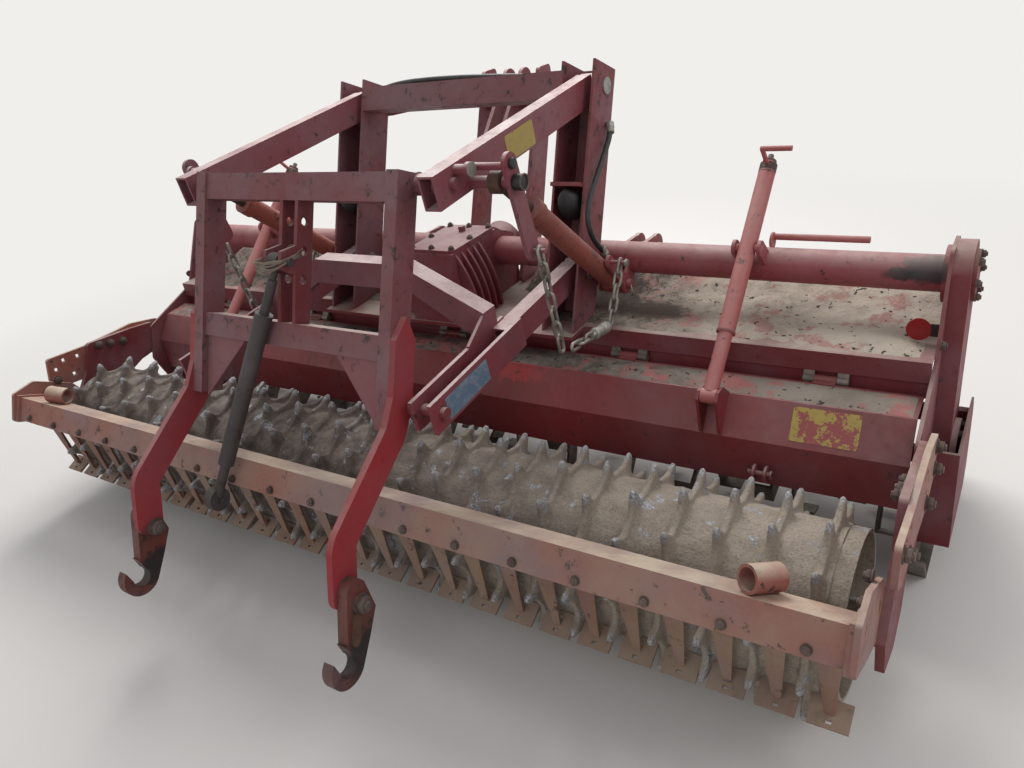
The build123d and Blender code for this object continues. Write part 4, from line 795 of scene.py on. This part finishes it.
class TILLER_OT_hoses(bpy.types.Operator):
    """Lays the two hydraulic hoses that the photograph shows, with their fittings"""
    bl_idname = "tiller.hoses"
    bl_label = "Hoses"

    def execute(self, context):
        size = context.scene.tiller_sizes.hose_size
        for name, points in HOSES.items():
            curve = bpy.data.curves.new(name, "CURVE")
            curve.dimensions = "3D"
            curve.bevel_depth = size / 2
            curve.bevel_resolution = 4
            curve.use_fill_caps = True
            curve.resolution_u = 12
            line = curve.splines.new("NURBS")
            line.points.add(len(points) - 1)
            for point, place in zip(line.points, points):
                point.co = (*place, 1.0)
            line.order_u = 3
            line.use_endpoint_u = True
            hose = bpy.data.objects.new(name, curve)
            context.scene.collection.objects.link(hose)
            curve.materials.append(FINISH["hose"])
            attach(hose, "frame")
            ends = []
            for end, beside in ((points[0], points[1]), (points[-1], points[-2])):
                way = (Vector(beside) - Vector(end)).normalized()
                sleeve, nut = (size * 0.62, 0.0, 0.040, 24), (size * 0.78, 0.004, 0.020, 6)
                for radius, near, far, count in (sleeve, nut):
                    made = cylinder(count, radius, far - near)
                    made.matrix_world = facing(Vector(end) + way * (near + far) / 2, way)
                    modify(made, "BEVEL", width=0.0012)
                    ends.append(made)
            crimps = settle(join(ends, name + "_fittings"), "frame", "zinc")
            bare = curve.copy()
            bare.bevel_depth = 0.0
            probe = bpy.data.objects.new("probe", bare)
            context.scene.collection.objects.link(probe)
            line_mesh = bpy.data.meshes.new_from_object(probe)
            bpy.data.objects.remove(probe)
            bpy.data.meshes.remove(line_mesh)
        return {"FINISHED"}


def lumpy(place, size):
    """Smooth noise from -1 to 1 at a place, with lumps about size metres across."""
    return field.fractal(Vector(place) / size, 0.9, 2.2, 4)


def soil_sheet(name, body, x0, x1, outline, depth, seed, cuts=(260, 24), finish="deck_soil", heap=0.0):
    """A layer of earth over a run of (y, z) points, patchy, thin at its edges and heaped at its far side."""
    clear()
    bpy.ops.mesh.primitive_grid_add(x_subdivisions=cuts[0], y_subdivisions=cuts[1], size=2.0)
    made = bpy.context.object
    reach = [0.0]
    for a, b in zip(outline, outline[1:]):
        reach.append(reach[-1] + gap(a, b))
    for v in made.data.vertices:
        u = (v.co.x + 1.0) / 2.0
        t = (v.co.y + 1.0) / 2.0
        at = t * reach[-1]
        k = max(i for i in range(len(outline) - 1) if at >= reach[i] - 1e-9)
        a, b = outline[k], outline[k + 1]
        share = (at - reach[k]) / (reach[k + 1] - reach[k])
        y, z = a[0] + (b[0] - a[0]) * share, a[1] + (b[1] - a[1]) * share
        x = x0 + (x1 - x0) * u
        rise = along((0, 0), heading(a, b), 0.0, 1.0)
        if rise[1] < 0:
            rise = (-rise[0], -rise[1])
        edge = min(u, 1 - u) * (x1 - x0) / 0.06
        edge = min(1.0, edge, min(t, 1 - t) * reach[-1] / 0.045)
        height = 0.55 + 0.75 * lumpy((x + seed, y, z), 0.22) + 0.28 * lumpy((x, y + seed, z), 0.045)
        height = depth * (max(height, 0.0) * edge) - 0.0022 * (1.0 - edge) - 0.0006
        pile = max(0.0, t - 0.5) * 2.0
        bank = heap * pile * pile * (3.0 - 2.0 * pile) * min(1.0, (1.0 - t) / 0.05)
        height += bank * (1.0 + 0.25 * lumpy((x, seed, t), 0.12))
        v.co = (x, y + rise[0] * height, z + rise[1] * height)
    modify(made, "SOLIDIFY", thickness=0.003, offset=-1.0)
    made.name = name
    return settle(made, body, finish, 80.0)


class TILLER_OT_soil(bpy.types.Operator):
    """Spreads the earth that lies on the deck and on the tailboard's top"""
    bl_idname = "tiller.soil"
    bl_label = "Soil"

    def execute(self, context):
        depth = context.scene.tiller_sizes.soil_depth
        deck = ((0.284, DECK_Z), (0.440, DECK_Z), (0.690, DECK_Z))
        soil_sheet("deck_soil_right", "frame", 0.170, 1.545, deck, depth, 3.0, heap=0.055)
        soil_sheet("deck_soil_left", "frame", -1.545, -0.170, deck, depth, 8.0, heap=0.055)
        top = ((0.236, 0.5785), (0.190, 0.5745), (0.146, 0.5705))
        soil_sheet("board_soil", "tailboard", -1.540, 1.540, top, depth * 0.45, 5.0, (320, 12), "board_soil")
        return {"FINISHED"}


class TILLER_OT_fittings(bpy.types.Operator):
    """Adds the struts' springs, the cylinders' collars, pins, bushes, the tailboard's lugs and a loose bar"""
    bl_idname = "tiller.fittings"
    bl_label = "Fittings"

    def execute(self, context):
        low = STRUT_LOW
        way = heading(STRUT_LOW, STRUT_HIGH)
        # the strut's dark ring, its cap and the crank's stem: near, far, radius
        rings = ((0.1935, 0.199, 0.0275), (0.7585, 0.766, 0.0205), (0.762, 0.786, 0.0085))
        made = []
        for side in SIDES:
            for k in range(6):
                coil = torus(0.0228, 0.0030, 28, 8)
                spot = along(low, way, 0.7215 + 0.0058 * k)
                tilt = along((0, 0), way + 5.0, 1.0)
                coil.matrix_world = facing((side * STRUT_X, *spot), (0, *tilt))
                made.append(coil)
            for near, far, radius in rings:
                made.append(bar(along(low, way, near), along(low, way, far), side * STRUT_X, radius))
        settle(join(made, "strut_springs"), "strut_tubes", "bolt")
        made = []
        low = CYLINDER_LOW
        way = heading(CYLINDER_LOW, CYLINDER_HIGH)
        collars = ((0.036, 0.044, 0.0345), (0.560, 0.566, 0.0378), (0.574, 0.580, 0.0378))
        for side in SIDES:
            for near, far, radius in collars:
                ends = along(low, way, near), along(low, way, far)
                made.append(bar(*ends, side * CYLINDER_X, radius, 0.001))
        settle(join(made, "barrel_collars"), "lift_barrels", "barrel_red")
        made = []
        for side in SIDES:
            ring = torus(0.022, 0.0022, 28, 8)
            ring.matrix_world = facing((side * 0.639, 0.441, 0.734), (0.75 * side, 0.6, 0.1))
            made.append(ring)
            nut = cylinder(6, 0.0125, 0.008)
            nut.matrix_world = facing((side * 0.686, *CHAIN_ANCHOR), (side, 0, 0))
            made.append(nut)
        settle(join(made, "linch_pins"), "frame", "zinc")
        made = []
        for side in SIDES:
            made.append(button((side * 0.550, *LEVER_STUB), side, 0.0195, 0.004))
        settle(join(made, "stub_heads"), "upper_arms", "casting")
        made = []
        for side in SIDES:
            made.append(button((side * LEVER_OUTER_X, *CYLINDER_HIGH), side, 0.021, 0.026))
            made.append(button((side * LEVER_OUTER_X, *LEVER_TOP), side, 0.014, 0.010))
        settle(join(made, "lever_bushes"), "upper_arms", "rubber")
        made = []
        for side in SIDES:
            ring = torus(0.0195, 0.0028, 32, 8)
            ring.matrix_world = facing((side * 0.660, *CYLINDER_HIGH), (side, 0, 0))
            made.append(ring)
        settle(join(made, "bush_rings"), "upper_arms", "bolt")
        # the two lugs and their pin low on the tailboard
        made = []
        lug, pin = (0.038, 0.388), (0.034, 0.390)
        for x in (1.164, 1.196):
            made.append(rod_across(x, x + 0.008, lug, 0.024))
        made.append(rod_across(1.150, 1.218, pin, 0.008))
        made.append(rod_across(1.212, 1.218, pin, 0.013))
        settle(join(made, "board_lugs"), "tailboard", "dark_red")
        # the loose bar that lies along the tube from a tab beside the strut
        made = [rod_across(1.066, 1.345, (0.562, 0.887), 0.010)]
        made.append(rod_across(1.066, 1.074, (0.556, 0.876), 0.026))
        settle(join(made, "tube_bar"), "frame", "strut_red")
        return {"FINISHED"}


class TILLER_OT_buffers(bpy.types.Operator):
    """Builds the round rubber buffers under the shelves of the lift posts"""
    bl_idname = "tiller.buffers"
    bl_label = "Buffers"

    def execute(self, context):
        low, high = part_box("rubber_stops")
        made = []
        for side in SIDES:
            clear()
            bpy.ops.mesh.primitive_uv_sphere_add(segments=32, ring_count=16, radius=1.0)
            ball = bpy.context.object
            centre = (side * 0.478, (low[1] + high[1]) / 2, (low[2] + high[2]) / 2)
            for v in ball.data.vertices:
                neck = 1.0 - 0.25 * max(0.0, v.co.z) ** 2
                v.co = Vector((0.041 * v.co.x * neck, 0.041 * v.co.y * neck, 0.060 * v.co.z))
            tilt = along((0, 0), LEAN + 90.0, 1.0)
            ball.matrix_world = facing(centre, (0, *tilt))
            made.append(ball)
        stops = settle(join(made, "round_buffers"), "frame", "rubber", 60.0)
        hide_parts("rubber_stops")
        return {"FINISHED"}


# Where the twine is tied round the middle plates, and its size against the loop's tube
LASHED = (-0.398, 1.118)
TWINE = 0.045


class TILLER_OT_lashing(bpy.types.Operator):
    """Winds the twine that is tied round the middle plates"""
    bl_idname = "tiller.lashing"
    bl_label = "Lashing"

    def execute(self, context):
        rng = random.Random(3)
        made = []
        for i in range(6):
            loop = torus(1.0, 0.05, 48, 8)
            wide, deep = 0.0425 + 0.001 * i, 0.072 + rng.uniform(0.0, 0.006)
            rise = rng.uniform(-0.010, 0.010)
            tip = rng.uniform(-0.25, 0.25)
            for v in loop.data.vertices:
                out = math.hypot(v.co.x, v.co.y)
                flat = Vector((v.co.x / out, v.co.y / out))
                thick = (out - 1.0) * TWINE
                x = flat.x * (wide + thick)
                y = flat.y * (deep + thick)
                z = v.co.z * TWINE + tip * y + 0.0015 * math.sin(9 * flat.x + i)
                v.co = (x, LASHED[0] + y, LASHED[1] + rise + z)
            made.append(loop)
        settle(join(made, "twine_lashing"), "hitch_frame", "twine", 60.0)
        return {"FINISHED"}


class TILLER_OT_webs(bpy.types.Operator):
    """Folds the tapered web on each scraper's arm"""
    bl_idname = "tiller.webs"
    bl_label = "Scraper webs"

    def execute(self, context):
        top = along(BEAM_REAR_TOP, BEAM_ANGLE, 0.0702, -0.0455)
        foot = along(ROLLER, FOOT_ANGLE, 0.243)
        way = heading(top, foot)
        clear()
        bpy.ops.mesh.primitive_grid_add(x_subdivisions=2, y_subdivisions=1, size=2.0)
        one = bpy.context.object
        for v in one.data.vertices:
            low = v.co.y > 0
            half = 0.011 if low else 0.034
            fold = 0.0095 if low else 0.017
            run = gap(top, foot) - 0.012 if low else 0.001
            back = -(fold - (fold - 0.0062) * abs(v.co.x))
            y, z = along(top, way, run, back if math.cos(math.radians(way)) > 0 else -back)
            v.co = (half * v.co.x, y, z)
        modify(one, "SOLIDIFY", thickness=0.0035, offset=0.0)
        modify(one, "BEVEL", width=0.0008)
        made = []
        for i in range(RING_COUNT + 1):
            x = (i - RING_COUNT / 2) * RING_PITCH
            made.append(copy_to(one, Matrix.Translation((x, 0, 0))))
        bpy.data.objects.remove(one)
        settle(join(made, "scraper_webs"), "frame", "scraper", 20.0)
        return {"FINISHED"}


# The camera that was solved from the photograph
CAMERA_AT = (1.756, -1.799, 1.742)
CAMERA_RIGHT = Vector((0.8379, 0.5239, -0.1531))
CAMERA_UP = -Vector((0.1327, -0.4676, -0.8739))
CAMERA_BACK = -Vector((-0.5295, 0.7119, -0.4613))
BACKDROP = "#f1efec"


class TILLER_OT_stage(bpy.types.Operator):
    """Adds the floor, the lamps and the camera at the photograph's angle"""
    bl_idname = "tiller.stage"
    bl_label = "Stage"

    def execute(self, context):
        scene = context.scene
        sizes = scene.tiller_sizes
        lens = bpy.data.cameras.new("camera")
        lens.lens = 28.24
        lens.sensor_width = 36.0
        camera = bpy.data.objects.new("camera", lens)
        scene.collection.objects.link(camera)
        turn = Matrix((CAMERA_RIGHT, CAMERA_UP, CAMERA_BACK)).transposed().to_4x4()
        camera.matrix_world = Matrix.Translation(CAMERA_AT) @ turn
        scene.camera = camera
        clear()
        bpy.ops.mesh.primitive_plane_add(size=60.0)
        floor = bpy.context.object
        floor.name = "floor"
        made, tree, shader, place, _ = start("pale_floor")
        wire(tree, shader, {"Base Color": (*sizes.floor_colour, 1.0), "Roughness": 0.9})
        # far from the machine the camera sees the backdrop's pale tone in place of the floor
        far = add(tree, "VectorMath", {0: place}, "Value", operation="LENGTH")
        going = add(tree, "MapRange", {"Value": far, "From Min": 1.6, "From Max": 4.5})
        rays = add(tree, "LightPath", {}).node.outputs
        seen = add(tree, "Math", {0: rays["Is Camera Ray"], 1: rays["Is Glossy Ray"]}, operation="MAXIMUM")
        share = add(tree, "Math", {0: going, 1: seen}, operation="MULTIPLY")
        white = add(tree, "Emission", {"Color": BACKDROP})
        both = add(tree, "MixShader", {0: share, 1: shader.outputs["BSDF"], 2: white})
        wire(tree, tree.nodes["Material Output"], {"Surface": both})
        floor.data.materials.append(made)
        world = bpy.data.worlds.new("studio")
        scene.world = world
        world.use_nodes = True
        tree = world.node_tree
        tree.nodes.clear()
        rays = add(tree, "LightPath", {}).node.outputs
        seen = add(tree, "Math", {0: rays["Is Camera Ray"], 1: rays["Is Glossy Ray"]}, operation="MAXIMUM")
        seen = add(tree, "Math", {0: seen, 1: rays["Is Transmission Ray"]}, operation="MAXIMUM")
        sky = add(tree, "Background", {"Color": "#e8ecf4", "Strength": 0.48})
        white = add(tree, "Background", {"Color": BACKDROP, "Strength": 1.0})
        both = add(tree, "MixShader", {0: seen, 1: sky, 2: white})
        add(tree, "OutputWorld", {"Surface": both})
        # lamps as place, way they look, size and power
        lamps = (
            ("key", (-1.2, 2.8, 4.4), (0.0, 0.0, 0.5), 3.6, 250.0),
            ("side", (4.4, 0.6, 3.6), (0.3, 0.0, 0.6), 2.5, 45.0),
            ("fill", (1.5, -4.4, 3.4), (0.0, -0.2, 0.5), 3.0, 35.0),
        )
        for name, place, target, size, power in lamps:
            light = bpy.data.lights.new(name, "AREA")
            light.shape = "DISK"
            light.size = size
            light.energy = power
            lamp = bpy.data.objects.new(name, light)
            scene.collection.objects.link(lamp)
            lamp.matrix_world = facing(place, Vector(place) - Vector(target))
        scene.view_settings.view_transform = "Standard"
        return {"FINISHED"}


class TILLER_PT_panel(bpy.types.Panel):
    bl_idname = "TILLER_PT_panel"
    bl_label = "Tiller"
    bl_space_type = "VIEW_3D"
    bl_region_type = "UI"
    bl_category = "Tiller"

    def draw(self, context):
        for step in STEPS:
            self.layout.operator(step.bl_idname)
        sizes = context.scene.tiller_sizes
        for name in ("soil_depth", "hose_size", "wire", "floor_colour"):
            self.layout.prop(sizes, name)


STEPS = (
    TILLER_OT_stage, TILLER_OT_finish, TILLER_OT_hoses, TILLER_OT_roller, TILLER_OT_chains, TILLER_OT_bolts,
    TILLER_OT_films, TILLER_OT_soil, TILLER_OT_fittings, TILLER_OT_buffers, TILLER_OT_lashing, TILLER_OT_webs,
)
CLASSES = (TillerSizes, *STEPS, TILLER_PT_panel)


def register():
    for made in CLASSES:
        bpy.utils.register_class(made)
    bpy.types.Scene.tiller_sizes = bpy.props.PointerProperty(type=TillerSizes)


def unregister():
    del bpy.types.Scene.tiller_sizes
    for made in reversed(CLASSES):
        bpy.utils.unregister_class(made)


def main():
    register()
    for step in STEPS:
        group, name = step.bl_idname.split(".")
        getattr(getattr(bpy.ops, group), name)()


if __name__ == "__main__":
    main()
